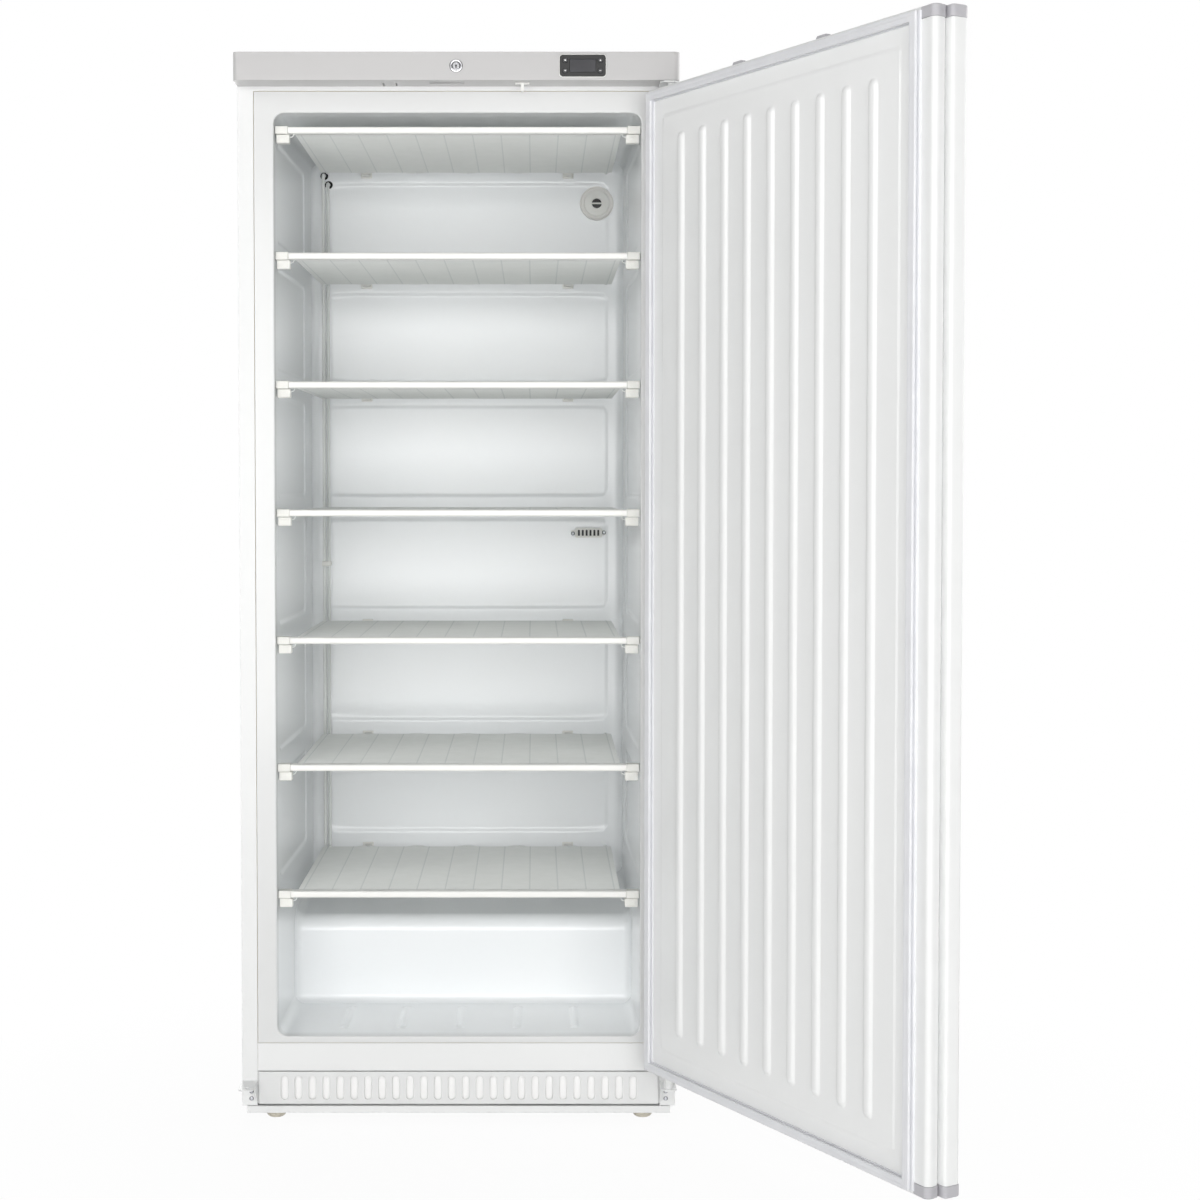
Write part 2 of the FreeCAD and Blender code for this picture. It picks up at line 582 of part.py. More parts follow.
def draw_outline(sketch, points):
    """A closed outline of straight lines, each corner held by its two coordinates."""
    first = sketch.GeometryCount
    places = [Vector(as_size(x).value, as_size(y).value, 0) for x, y in points]
    count = len(places)
    for index in range(count):
        sketch.addGeometry(Part.LineSegment(places[index], places[(index + 1) % count]), False)
    for index in range(count):
        following = first + (index + 1) % count
        sketch.addConstraint(Sketcher.Constraint("Coincident", first + index, 2, following, 1))
    for index, (x, y) in enumerate(points):
        hold(sketch, "DistanceX", first + index, 1, x)
        hold(sketch, "DistanceY", first + index, 1, y)


def draw_slot(sketch, x, y, width, height):
    """An upright slot whose ends are drawn in with slanted sides."""
    side, top = as_size(width) / 2, as_size(height) / 2
    reach, shoulder = side * 0.45, top - side * 0.7
    draw_outline(sketch, [(x - reach, y - top), (x + reach, y - top), (x + side, y - shoulder),
                          (x + side, y + shoulder), (x + reach, y + top), (x - reach, y + top),
                          (x - side, y + shoulder), (x - side, y - shoulder)])


def pad(body, sketch, name, length, both_ways=False):
    feature = body.newObject("PartDesign::Pad", name)
    feature.Profile = sketch
    if both_ways:
        feature.SideType = "Symmetric"
    return bind(feature, Length=length)


def mitred_tube(points, radius, sides):
    """A tube of flat facets along a flat chain of points, mitred at each corner."""
    start, following = points[0], points[1]
    across = Vector(following - start).normalize()
    circle = Part.Circle(start, across, radius)
    ring = [circle.value(2 * math.pi * (side + 0.5) / sides) for side in range(sides)]
    section = Part.makePolygon(ring + ring[:1])
    return Part.makePolygon(points).makePipeShell([section], True, False, 1)


def tube_flat(radius, sides):
    """From the middle of a faceted tube to the middle of a facet."""
    return radius.value * math.cos(math.pi / sides)


def eased(points, reach):
    """The same chain of points with each corner replaced by three slanted steps."""
    path = [points[0]]
    octagon = 1 - math.sqrt(0.5)
    for index in range(1, len(points) - 1):
        corner = points[index]
        back = (points[index - 1] - corner).normalize()
        ahead = (points[index + 1] - corner).normalize()
        path += [corner + back * reach, corner + (back + ahead) * reach * octagon, corner + ahead * reach]
    return path + [points[-1]]


def serpentine(runs, pitch, low, high, chords):
    """Points of a flat tube that runs to and fro; each bend's straight chords touch its half circle."""
    points = []
    bend = pitch / 2
    half_turn = math.pi / (2 * (chords + 1))
    corner_reach = bend / math.cos(half_turn)
    for run in range(runs):
        across = (run - (runs - 1) / 2) * pitch
        going_down = run % 2 == 0
        start, end = (high - bend, low + bend) if going_down else (low + bend, high - bend)
        if run == 0:
            points.append(Vector(across, start, 0))
        if run == runs - 1:
            points.append(Vector(across, end, 0))
            break
        for corner in range(chords + 1):
            turn = half_turn * (2 * corner + 1)
            lift = corner_reach * math.sin(turn) * (-1 if going_down else 1)
            points.append(Vector(across + bend - corner_reach * math.cos(turn), end + lift, 0))
    return points


def free_shape(name, shape):
    """A piece whose shape is worked out from the sizes rather than sketched."""
    feature = doc.addObject("Part::Feature", name)
    feature.Shape = shape
    return feature


# --- the cabinet
def cabinet_shell():
    """Folded steel wrapper: sides with front flanges, top and back, open at the front and below."""
    outer = box("shell_outer", (-half, half), (0, cabinet_depth), (base_top, shell_top))
    inner = box("shell_inner", (-half + steel, half - steel), (-overcut, cabinet_depth - steel),
                (base_top - overcut, shell_top - steel))
    bay = box("shell_bay", (-half + rear_border, half - rear_border),
              (cabinet_depth - 2 * steel, cabinet_depth + overcut),
              (base_top + rear_border, machine_top - rear_border))
    walls = cut("shell_walls", outer, inner, bay)
    left = box("flange_left", (-half, -half + face_flange), (0, steel), (base_top, shell_top))
    right = box("flange_right", (half - face_flange, half), (0, steel), (base_top, shell_top))
    top = box("flange_top", (-half, half), (0, steel), (face_top + panel_gap, shell_top))
    sub_part("cabinet_shell", fuse("shell_folded", walls, left, right, top))


def cavity_wedge(name, grow, at_back=True):
    """The drafted space of the cavity, or the same space grown by a wall, rounded at its corners."""
    side = opening_width / 2 + grow
    wedge = doc.addObject("Part::Wedge", name + "_wedge")
    bind(wedge, Xmin=-side, Xmax=side, X2min=-side + cavity_draft, X2max=side - cavity_draft)
    bind(wedge, Ymin=0, Ymax=cavity_depth + grow)
    bind(wedge, Zmin=opening_bottom - grow, Z2min=opening_bottom - grow)
    bind(wedge, Zmax=opening_top + grow, Z2max=opening_top + grow - cavity_draft)
    back = (cavity_depth + grow).value

    def corner(edge):
        return middle(edge).y > 1 and (at_back or middle(edge).y < back - 1)

    return rounded(name, wedge, corner_radius + grow, corner)


def cavity_hump(name, shrink):
    """The step in the cavity's floor that makes room for the machine bay."""
    side = opening_width / 2 + stock
    wedge = doc.addObject("Part::Wedge", name + "_wedge")
    bind(wedge, Xmin=-side, Xmax=side, X2min=-side, X2max=side)
    bind(wedge, Ymin=hump_front + shrink, Ymax=cavity_depth + stock)
    bind(wedge, Zmin=opening_bottom - stock, Z2min=opening_bottom - stock)
    bind(wedge, Zmax=hump_height - shrink, Z2max=hump_height + hump_rise - shrink)
    front_edge = hump_front + shrink

    def upper_front(edge):
        point = middle(edge)
        return near(point.y, front_edge) and near(point.z, hump_height - shrink)

    return rounded(name, wedge, hump_radius - shrink, upper_front)


def wall_recess(name, x, y, z, axis):
    """A block with bevelled corners that presses one panel into a wall."""
    block = box(name + "_block", x, y, z)
    return bevelled(name, block, recess_radius, lambda edge: runs_along(edge, axis))


def wall_recesses():
    """The shallow panels between the shelves, in the back wall and in both side walls."""
    windows = []
    side = opening_width / 2 + stock
    for level in range(len(shelf_heights) - 1):
        low = shelf_heights[level] + recess_above
        high = shelf_heights[level + 1] - recess_below
        windows.append(wall_recess(f"back_window_{level}", (-recess_half_width, recess_half_width),
                                   (cavity_depth - stock * 2, cavity_depth + stock), (low, high), "y"))
        windows.append(wall_recess(f"side_window_{level}", (-side, side),
                                   (side_recess_front, side_recess_rear), (low, high), "x"))
    space = cavity_wedge("recess_space", recess_depth, at_back=False)
    return common("recesses", space, fuse("windows", *windows))


def floor_ribs():
    """The upright ribs moulded into the cavity's floor."""
    ribs = []
    for index in range(rib_count):
        centre = rib_pitch * (index - (rib_count - 1) / 2)
        rib = box(f"floor_rib_{index}", around(centre, rib_width / 2), (rib_front, rib_rear),
                  (opening_bottom - overcut, opening_bottom + rib_height))
        ribs.append(bevelled(f"floor_rib_ends_{index}", rib, rib_width / 3,
                             lambda edge: runs_along(edge, "z")))
    return ribs


def liner_and_insulation():
    """The moulded plastic liner with its face, and the foam between it and the steel."""
    skin = cut("liner_skin", cavity_wedge("liner_form", liner_wall, at_back=False),
               cavity_hump("hump_under", liner_wall))
    space = fuse("space", cavity_wedge("cavity_form", as_size(0)), wall_recesses())
    cavity = cut("cavity", space, cavity_hump("hump_over", as_size(0)), *floor_ribs())
    face = box("liner_face", (-face_half, face_half), (0, liner_wall), (face_bottom, face_top))
    sub_part("liner", cut("liner_moulded", fuse("liner_solid", skin, face), cavity))

    block = box("foam_block", (-half + steel, half - steel), (liner_wall, cabinet_depth - steel),
                (foam_bottom, shell_top - steel))
    bay = box("foam_bay", (-half, half), (machine_front, cabinet_depth), (foam_bottom - overcut, machine_top))
    sub_part("cabinet_insulation", cut("foam", block, skin, bay))


def machine_bay_panel():
    """Folded sheet below the foam: underside, front wall and ceiling of the machine bay."""
    body = doc.addObject("PartDesign::Body", "bay_panel_body")
    sketch = new_sketch(body, "bay_panel_profile", "YZ_Plane")
    start = liner_wall + panel_gap
    back = cabinet_depth - steel - panel_gap
    draw_outline(sketch, [
        (start, foam_bottom - steel), (machine_front + steel, foam_bottom - steel),
        (machine_front + steel, machine_top - steel), (back, machine_top - steel),
        (back, machine_top), (machine_front, machine_top), (machine_front, foam_bottom),
        (start, foam_bottom)])
    pad(body, sketch, "bay_panel_pad", (half - steel - panel_gap) * 2, both_ways=True)
    sub_part("machine_bay_panel", body)


def lower_front_panel():
    """The folded panel between the plastic face and the grille."""
    body = doc.addObject("PartDesign::Body", "front_panel_body")
    sketch = new_sketch(body, "front_panel_profile", "YZ_Plane")
    low = foam_bottom - steel - panel_gap - steel
    high = face_bottom - panel_gap
    draw_outline(sketch, [
        (0, low), (panel_return, low), (panel_return, low + steel), (steel, low + steel),
        (steel, high - steel), (liner_wall - panel_gap, high - steel), (liner_wall - panel_gap, high),
        (0, high)])
    pad(body, sketch, "front_panel_pad", face_half * 2, both_ways=True)
    sub_part("lower_front_panel", body)


def grille_folds(low, high):
    """The grille's folded top and bottom edges, and the ears behind the cabinet's side flanges."""
    fold_y = (-grille_thickness / 2, panel_return)
    whole_width = (-grille_half_width, grille_half_width)
    ear_y = (steel + seat, steel + seat + grille_thickness)
    ear_reach = half - face_flange + grille_ear
    return [
        box("grille_fold_upper", whole_width, fold_y, (high - grille_thickness, high)),
        box("grille_fold_lower", whole_width, fold_y, (low, low + grille_thickness)),
        box("grille_ear_left", (-ear_reach, -grille_half_width + overcut), ear_y, (low, high)),
        box("grille_ear_right", (grille_half_width - overcut, ear_reach), ear_y, (low, high)),
    ]


def vent_grille():
    """The air grille: a plate with a row of upright slots and folded top and bottom edges."""
    body = doc.addObject("PartDesign::Body", "grille_body")
    plate = new_sketch(body, "grille_plate_profile", "XZ_Plane")
    low, high = grille_bottom, grille_top
    draw_outline(plate, [(-grille_half_width, low), (grille_half_width, low),
                         (grille_half_width, high), (-grille_half_width, high)])
    pad(body, plate, "grille_plate", grille_thickness)
    slot = new_sketch(body, "grille_slot_profile", "XZ_Plane", grille_thickness)
    row_length = slot_pitch * (slot_count - 1)
    draw_slot(slot, -row_length / 2, (low + high) / 2, slot_width, slot_height)
    pocket = body.newObject("PartDesign::Pocket", "grille_slot")
    pocket.Profile = slot
    pocket.Type = "ThroughAll"
    row = body.newObject("PartDesign::LinearPattern", "grille_slots")
    row.Originals = [pocket]
    row.Direction = (plate, ["H_Axis"])
    row.Occurrences = slot_count
    row.setExpression("Length", row_length.text)
    body.Tip = row
    sub_part("vent_grille", fuse("grille_folded", body, *grille_folds(low, high)))


def foot_hole(name, side):
    """The hole that a levelling foot's stud turns in."""
    return prism(name, stud_sides, stud_radius + running_gap, "z",
                 (foot_spacing / 2 * side, foot_setback, base_bottom - overcut),
                 base_height + foot_nut + overcut * 2)


def roller_carrier(name, side):
    """Two cheeks under the base frame, and the axle that they hold."""
    centre = foot_spacing / 2 * side
    inner, outer = roller_width / 2 + roller_side_gap, roller_width / 2 + roller_side_gap + base_plate * 2
    cheek_y = around(roller_setback, roller_radius - axle_radius)
    cheek_z = (roller_radius - axle_radius * 2, base_top)
    reach = roller_width / 2 + base_plate * 3
    return [
        box(f"cheek_{name}_left", (centre - outer, centre - inner), cheek_y, cheek_z),
        box(f"cheek_{name}_right", (centre + inner, centre + outer), cheek_y, cheek_z),
        rod(f"axle_{name}", axle_radius, "x", (centre - reach, roller_setback, roller_radius), reach * 2),
    ]


def base_frame():
    """The inverted tray that carries the cabinet, with its foot nuts and roller carriers."""
    outer = box("base_outer", around(0, base_half_width), (-base_front, cabinet_depth),
                (base_bottom, base_top))
    under = box("base_under", around(0, base_half_width - base_plate),
                (-base_front + base_plate, cabinet_depth - base_plate),
                (base_bottom - overcut, base_top - base_plate))
    holes = [foot_hole("foot_hole_left", -1), foot_hole("foot_hole_right", 1)]
    pieces = [cut("base_tray", outer, under, *holes)]
    for name, side in (("left", -1), ("right", 1)):
        pieces += roller_carrier(name, side)
        boss = prism(f"foot_boss_{name}", 6, stud_radius * 2, "z",
                     (foot_spacing / 2 * side, foot_setback, base_top - base_plate), base_plate + foot_nut)
        pieces.append(cut(f"foot_nut_{name}", boss, foot_hole(f"foot_boss_hole_{name}", side)))
    sub_part("base_frame", fuse("base_welded", *pieces))


def front_foot(name, side):
    """A levelling foot: a bowl-shaped pad on a stud that turns up or down in the base frame."""
    x = foot_spacing / 2 * side
    block = prism(f"foot_pad_{name}", foot_sides, foot_radius, "z", (x, foot_setback, 0), foot_height)
    bowl = bevelled(f"foot_bowl_{name}", block, foot_bevel, lambda edge: near(middle(edge).z, 0))
    stud = prism(f"foot_stud_{name}", stud_sides, stud_radius, "z", (x, foot_setback, overcut),
                 stud_top - overcut)
    sub_part(f"front_foot_{name}", fuse(f"foot_{name}", bowl, stud))


def rear_roller(name, side):
    """A roller, free on its axle."""
    x = foot_spacing / 2 * side - roller_width / 2
    tread = prism(f"roller_tread_{name}", foot_sides, roller_radius, "x",
                  (x, roller_setback, roller_radius), roller_width)
    bore = rod(f"roller_bore_{name}", axle_radius + running_gap, "x",
               (x - overcut, roller_setback, roller_radius), roller_width + overcut * 2)
    sub_part(f"rear_roller_{name}", cut(f"roller_{name}", tread, bore))


# --- the canopy and what it carries
def canopy_openings():
    """What is cut out of the canopy: lock, controller, bolt, door switch and the spare switch place."""
    front = (-canopy_reach - overcut, -canopy_reach + steel + overcut)
    under = (canopy_bottom - overcut, canopy_bottom + steel + overcut)
    bolt_x = (-bolt_slot_left, bolt_slot_right)
    spares = [box(f"canopy_spare_{side + 1}", around(-spare_slot_x + spare_slot_gap / 2 * side, steel),
                  (-spare_slot_front - spare_slot_length, -spare_slot_front), under) for side in (-1, 1)]
    return [
        prism("canopy_lock_hole", lock_sides, lock_radius + panel_gap, "y",
              (0, -canopy_reach - overcut, controls_height), steel + overcut * 2),
        box("canopy_window", around(controller_x, controller_half + panel_gap), front,
            around(controls_height, controller_rise + panel_gap)),
        box("canopy_bolt_slot", bolt_x, around(-switch_setback, bolt_slot_width / 2), under),
        box("canopy_switch_hole", around(switch_x, plunger_width / 2 + switch_play),
            around(-switch_setback, plunger_depth / 2 + switch_play / 2), under),
        *spares]


def canopy():
    """Sheet-metal box over the door, with the openings for lock, controller, bolt and door switch."""
    block = box("canopy_block", (-half, half), (-canopy_reach, 0), (canopy_bottom, overall_height))
    outer = rounded("canopy_outer", block, canopy_radius,
                    lambda edge: runs_along(edge, "z") and near(middle(edge).y, -canopy_reach))
    hollow = box("canopy_hollow", (-half + steel, half - steel), (-canopy_reach + steel, overcut),
                 (canopy_bottom + steel, overall_height - steel))
    inner = rounded("canopy_inner", hollow, canopy_radius - steel,
                    lambda edge: runs_along(edge, "z") and near(middle(edge).y, -canopy_reach + steel))
    lip = box("canopy_lip", (-half, half), (-overcut, canopy_lap), (shell_top, overall_height))
    box_only = cut("canopy_box", outer, inner, *canopy_openings())
    sub_part("canopy", fuse("canopy_folded", box_only, lip))


def lock_housing(front):
    """The lock's body: a ring on the canopy's front, a sleeve through it and the nut that holds it."""
    ring = prism("lock_ring", lock_sides * 2, lock_ring_radius, "y",
                 (0, front - lock_ring_depth, controls_height), lock_ring_depth)
    sleeve = prism("lock_sleeve", lock_sides, lock_radius, "y",
                   (0, front - overcut, controls_height), lock_length + overcut)
    nut = prism("lock_nut", 6, lock_nut_radius, "y",
                (0, front + steel + panel_gap, controls_height), lock_nut_length)
    bore = rod("lock_bore", barrel_radius + running_gap, "y",
               (0, front - lock_ring_depth - overcut, controls_height),
               lock_length + lock_ring_depth + overcut * 2)
    sub_part("lock_housing", cut("lock_drilled", fuse("lock_solid", ring, sleeve, nut), bore))


def lock_barrel(front):
    """The lock's barrel with its key slot, and the bolt that swings with it."""
    start = front - lock_ring_depth + barrel_inset
    bolt_front = -switch_setback - bolt_thickness / 2
    barrel = rod("barrel_rod", barrel_radius, "y", (0, start, controls_height),
                 bolt_front + bolt_thickness - start)
    arm = box("barrel_arm", (-bolt_reach, bolt_width / 2), (bolt_front, bolt_front + bolt_thickness),
              around(controls_height, bolt_width / 2))
    arm = bevelled("barrel_arm_bevel", arm, bolt_width / 3,
                   lambda edge: runs_along(edge, "y") and near(middle(edge).x, bolt_width / 2))
    keyhole = box("barrel_keyhole", around(0, keyhole_width / 2), (start - overcut, start + keyhole_depth),
                  around(controls_height, keyhole_height / 2))
    sub_part("lock_barrel", cut("barrel_keyed", fuse("barrel_solid", barrel, arm), keyhole))


def button_places():
    """The four buttons' names and middles, as offsets sideways and upwards."""
    corners_in_order = ((-1, 1), (-1, -1), (1, 1), (1, -1))
    return [(f"controller_button_{index + 1}", controller_x + button_x * side,
             controls_height + button_z * lift)
            for index, (side, lift) in enumerate(corners_in_order)]


def controller(front):
    """The temperature controller: bezel with its body, the display in its window, four push buttons."""
    frame = box("bezel_block", around(controller_x, bezel_width / 2), (front - bezel_depth, front),
                around(controls_height, bezel_height / 2))
    frame = bevelled("bezel_bevel", frame, bezel_radius, lambda edge: runs_along(edge, "y"))
    body = box("controller_body", around(controller_x, controller_half),
               (front - overcut, front + controller_depth), around(controls_height, controller_rise))
    display_front = front - bezel_depth + display_inset
    display_y = (display_front, display_front + display_depth)
    window = box("bezel_window", around(controller_x, display_width / 2 + panel_gap),
                 (front - bezel_depth - overcut, display_y[1]),
                 around(controls_height, display_height / 2 + panel_gap))
    well_depth = button_length - button_proud + button_travel + running_gap * 2
    wells = [prism(f"{name}_well", button_sides, button_radius + running_gap, "y",
                   (x, front - bezel_depth - overcut, z), well_depth + overcut)
             for name, x, z in button_places()]
    sub_part("controller_bezel", cut("bezel_open", fuse("bezel_solid", frame, body), window, *wells))
    screen = box("display_block", around(controller_x, display_width / 2), display_y,
                 around(controls_height, display_height / 2))
    sub_part("controller_display", group("display_glass", screen))
    for name, x, z in button_places():
        cap = prism(f"{name}_bar", button_sides, button_radius, "y",
                    (x, front - bezel_depth - button_proud, z), button_length)
        sub_part(name, group(f"{name}_cap", cap))


def door_switch():
    """The switch over the door: a collar and body in the canopy's underside, and its plunger."""
    body_x = around(switch_x, collar_length / 2)
    body_y = around(-switch_setback, collar_width / 2)
    collar = box("switch_collar_block", body_x, body_y, (canopy_bottom - collar_thickness, canopy_bottom))
    neck = box("switch_neck", around(switch_x, plunger_width / 2 + switch_play - panel_gap),
               around(-switch_setback, plunger_depth / 2 + switch_play / 2 - panel_gap),
               (canopy_bottom - overcut, canopy_bottom + steel + overcut))
    body = box("switch_block", body_x, body_y, (canopy_bottom + steel, canopy_bottom + switch_height))
    travel_top = canopy_bottom + switch_height - switch_roof
    way = box("switch_way", around(switch_x, plunger_width / 2 + running_gap),
              around(-switch_setback, plunger_depth / 2 + running_gap),
              (canopy_bottom - collar_thickness - overcut, travel_top))
    sub_part("switch_collar", cut("switch_hollow", fuse("switch_solid", collar, neck, body), way))
    stem = box("plunger_stem", around(switch_x, plunger_width / 2),
               around(-switch_setback, plunger_depth / 2),
               (plunger_tip, travel_top - plunger_travel - switch_play))
    tip = rounded("plunger_tip_round", stem, plunger_round,
                  lambda edge: runs_along(edge, "y") and near(middle(edge).z, plunger_tip))
    sub_part("switch_plunger", tip)


# --- the hinges
def screw_heads(name, places):
    """Screws with the length of shank that fills their plate."""
    screws = []
    for index, (x, z) in enumerate(places):
        head = prism(f"{name}_head_{index}", screw_sides, screw_head_radius, "y",
                     (x, -bracket_plate - screw_head_height, z), screw_head_height)
        shank = prism(f"{name}_shank_{index}", screw_sides, screw_radius, "y",
                      (x, -bracket_plate - overcut, z), bracket_plate + overcut)
        screws.append(fuse(f"{name}_{index}", head, shank))
    return screws


def screw_holes(name, places):
    """The holes that those screws pass through."""
    return [prism(f"{name}_hole_{index}", screw_sides, screw_radius + running_gap, "y",
                  (x, -bracket_plate - overcut, z), bracket_plate + overcut * 2)
            for index, (x, z) in enumerate(places)]


def lower_screws(side):
    return [(screw_x * side, screw_upper), (screw_x * side, screw_lower)]


def upper_screws():
    """The upper bracket's two screws, on both sides of its pin."""
    height = canopy_bottom - seat - upper_leg / 2 - bracket_plate / 2
    return [(hinge_x - screw_spacing / 2, height), (hinge_x + screw_spacing / 2, height)]


def lower_bracket(name, side):
    """An angle bracket on the cabinet's face, its lip standing out under the door's corner."""
    limits = (bracket_inner, bracket_outer) if side > 0 else (-bracket_outer, -bracket_inner)
    leg = box(f"{name}_leg", limits, (-bracket_plate, 0), (bracket_bottom, bracket_top))
    lip = box(f"{name}_lip", limits, (-bracket_reach, 0), (bracket_top - bracket_plate, bracket_top))
    lip = bevelled(f"{name}_lip_bevel", lip, bracket_bevel,
                   lambda edge: runs_along(edge, "z") and near(middle(edge).y, -bracket_reach))
    gusset = doc.addObject("Part::Wedge", f"{name}_gusset")
    inner = bracket_inner if side > 0 else -bracket_inner - bracket_plate
    bind(gusset, Xmin=inner, Xmax=inner + bracket_plate, X2min=inner, X2max=inner + bracket_plate)
    bind(gusset, Ymin=-bracket_reach / 2, Ymax=-overcut)
    bind(gusset, Zmin=bracket_top - bracket_plate - overlap, Zmax=bracket_top - overcut)
    bind(gusset, Z2min=bracket_bottom + gusset_rise, Z2max=bracket_top - overcut)
    solid = fuse(f"{name}_solid", leg, lip, gusset)
    return cut(f"{name}_drilled", solid, *screw_holes(name, lower_screws(side)))


def lower_hinge():
    """The lower bracket with its riveted pin and the shoulder that the door's bush stands on."""
    pin_base = bracket_top - bracket_plate * 2
    pin_end = door_bottom + pin_engagement
    pin = rod("lower_pin", pin_radius, "z", (hinge_x, -hinge_setback, pin_base), pin_end - pin_base)
    tip = bevelled("lower_pin_tip", pin, pin_bevel,
                   lambda edge: edge.Closed and near(middle(edge).z, pin_end))
    shoulder_base = bracket_top - overlap
    shoulder = prism("lower_shoulder", 6, shoulder_radius, "z", (hinge_x, -hinge_setback, shoulder_base),
                     door_bottom - bush_flange - seat - shoulder_base)
    sub_part("lower_hinge_bracket", fuse("lower_hinge", lower_bracket("lower_bracket", 1), shoulder, tip))


def spare_bracket():
    """The same bracket at the other corner, for a door that is hung on the left."""
    spare_hole = rod("spare_pin_hole", pin_radius + running_gap, "z",
                     (-hinge_x, -hinge_setback, bracket_top - bracket_plate - overcut),
                     bracket_plate + overcut * 2)
    sub_part("spare_hinge_bracket", cut("spare_hinge", lower_bracket("spare_bracket", -1), spare_hole))


def upper_hinge():
    """The angle bracket under the canopy, with the pin that hangs down into the door."""
    plate_top = canopy_bottom - seat
    front = -bracket_reach + upper_setback
    width = (bracket_inner - upper_margin, bracket_outer)
    plate = box("upper_plate", width, (front, 0), (plate_top - bracket_plate, plate_top))
    plate = bevelled("upper_plate_bevel", plate, bracket_bevel,
                     lambda edge: runs_along(edge, "z") and near(middle(edge).y, front))
    leg = box("upper_leg", width, (-bracket_plate, 0), (plate_top - upper_leg, plate_top))
    pin_start = door_top - pin_engagement
    upper_pin = rod("upper_pin", pin_radius, "z", (hinge_x, -hinge_setback, pin_start),
                    plate_top - overlap - pin_start)
    solid = fuse("upper_solid", plate, leg, upper_pin)
    sub_part("upper_hinge_bracket", cut("upper_hinge", solid, *screw_holes("upper", upper_screws())))


def hinge_screws():
    """The two screws of each hinge bracket."""
    screws = screw_heads("screw_right", lower_screws(1)) + screw_heads("screw_left", lower_screws(-1))
    sub_part("hinge_screws", group("screws", *screws, *screw_heads("screw_upper", upper_screws())))


# --- the evaporator shelves
def shelf_wires(height):
    """The cross wires of one shelf, in turn over and under its tube."""
    side = wire_side.value
    reach = (tube_half_field + tube_radius + wire_overhang).value
    first = (trim_front + trim_depth + wire_start).value
    step = ((tube_rear - tube_pitch / 2).value - first) / (wire_count - 1)
    rise = tube_flat(tube_radius, tube_facets) + weld_gap
    wires = []
    for index in range(wire_count):
        over = index % 2 == 0
        z = height.value + (rise if over else -rise - side)
        wires.append(Part.makeBox(2 * reach, side, side, Vector(-reach, first + step * index, z)))
    return wires


def shelf_shape(height):
    """One shelf: the serpentine tube, and cross wires welded over and under it."""
    path = serpentine(tube_runs, tube_pitch.value, tube_front.value, tube_rear.value, bend_chords)
    path[0].y = (riser_y - riser_radius - seat).value
    lifted = [point + Vector(0, 0, height.value) for point in path]
    return Part.Compound([mitred_tube(lifted, tube_radius.value, tube_facets), *shelf_wires(height)])


def shelf_trim(number, height):
    """The white channel pushed over a shelf's front bends."""
    trim_back = trim_front + trim_depth
    outer = box(f"trim_outer_{number}", (-trim_half_length, trim_half_length), (trim_front, trim_back),
                around(height, trim_height / 2))
    outer = bevelled(f"trim_bevel_{number}", outer, trim_bevel,
                     lambda edge: runs_along(edge, "x") and near(middle(edge).y, trim_front))
    groove = box(f"trim_groove_{number}", (-trim_half_length - overcut, trim_half_length + overcut),
                 (trim_front + trim_wall, trim_back + overcut), around(height, trim_height / 2 - trim_wall))
    sub_part(f"shelf_trim_{number}", cut(f"trim_{number}", outer, groove))


def front_clip(name, side, height):
    """The clip between a trim's end and the cavity's side wall, with its lower block."""
    slope = cavity_draft / cavity_depth
    wall = opening_width / 2 - slope * (trim_front + clip_depth) - seat
    inner = trim_half_length + seat
    lower_inner, lower_outer = inner - clip_shift, wall - clip_step * 2
    low = height - clip_height / 2
    upper_x = (inner, wall) if side > 0 else (-wall, -inner)
    lower_x = (lower_inner, lower_outer) if side > 0 else (-lower_outer, -lower_inner)
    upper = box(f"{name}_upper", upper_x, (trim_front - clip_step, trim_front - clip_step + clip_depth),
                (low, height + clip_height / 2))
    lower = box(f"{name}_lower", lower_x,
                (trim_front + clip_step, trim_front - clip_step * 3 + clip_depth),
                (low - clip_drop, low + overlap))
    return fuse(name, upper, lower)


def rear_peg(name, side, height):
    """A peg from the back wall that ends at a shelf's rear bend."""
    start = tube_rear + tube_radius + seat
    return box(name, around(tube_pitch * peg_runs * side, peg_width / 2), (start, cavity_depth - seat),
               (height - peg_drop, height + peg_rise))


def shelves():
    """The seven fixed shelves with their trims, and what holds them to the walls."""
    clips, pegs = [], []
    for number, height in enumerate(shelf_heights, start=1):
        sub_part(f"evaporator_shelf_{number}", free_shape(f"shelf_{number}", shelf_shape(height)))
        shelf_trim(number, height)
        for name, side in (("left", -1), ("right", 1)):
            clips.append(front_clip(f"front_clip_{number}_{name}", side, height))
            pegs.append(rear_peg(f"rear_peg_{number}_{name}", side, height))
    sub_part("shelf_front_clips", group("front_clips", *clips))
    sub_part("shelf_rear_clips", group("rear_pegs", *pegs))


def riser_tubes():
    """Two tubes up the back left corner that feed the shelves, held together by a band."""
    y = riser_y.value
    radius = riser_radius.value
    first_x = -(tube_half_field + riser_pitch).value
    solids = []
    for index in range(2):
        x = first_x + riser_pitch.value * index
        high = (shelf_top - riser_drop - riser_pitch * index * 2).value
        points = [Vector(x, y, riser_bottom.value), Vector(x, y, high),
                  Vector(x, (cavity_depth - seat).value, high)]
        solids.append(mitred_tube(eased(points, radius * 2.5), radius, pipe_sides))
    margin = radius + riser_band_wall.value
    band_z = (shelf_heights[3] + shelf_heights[2]).value / 2
    band = Part.makeBox(riser_pitch.value + margin * 2, margin * 2, riser_band_height.value,
                        Vector(first_x - margin, y - margin, band_z))
    for solid in solids:
        band = band.cut(solid)
    sub_part("riser_tubes", free_shape("risers", Part.Compound(solids + [band])))


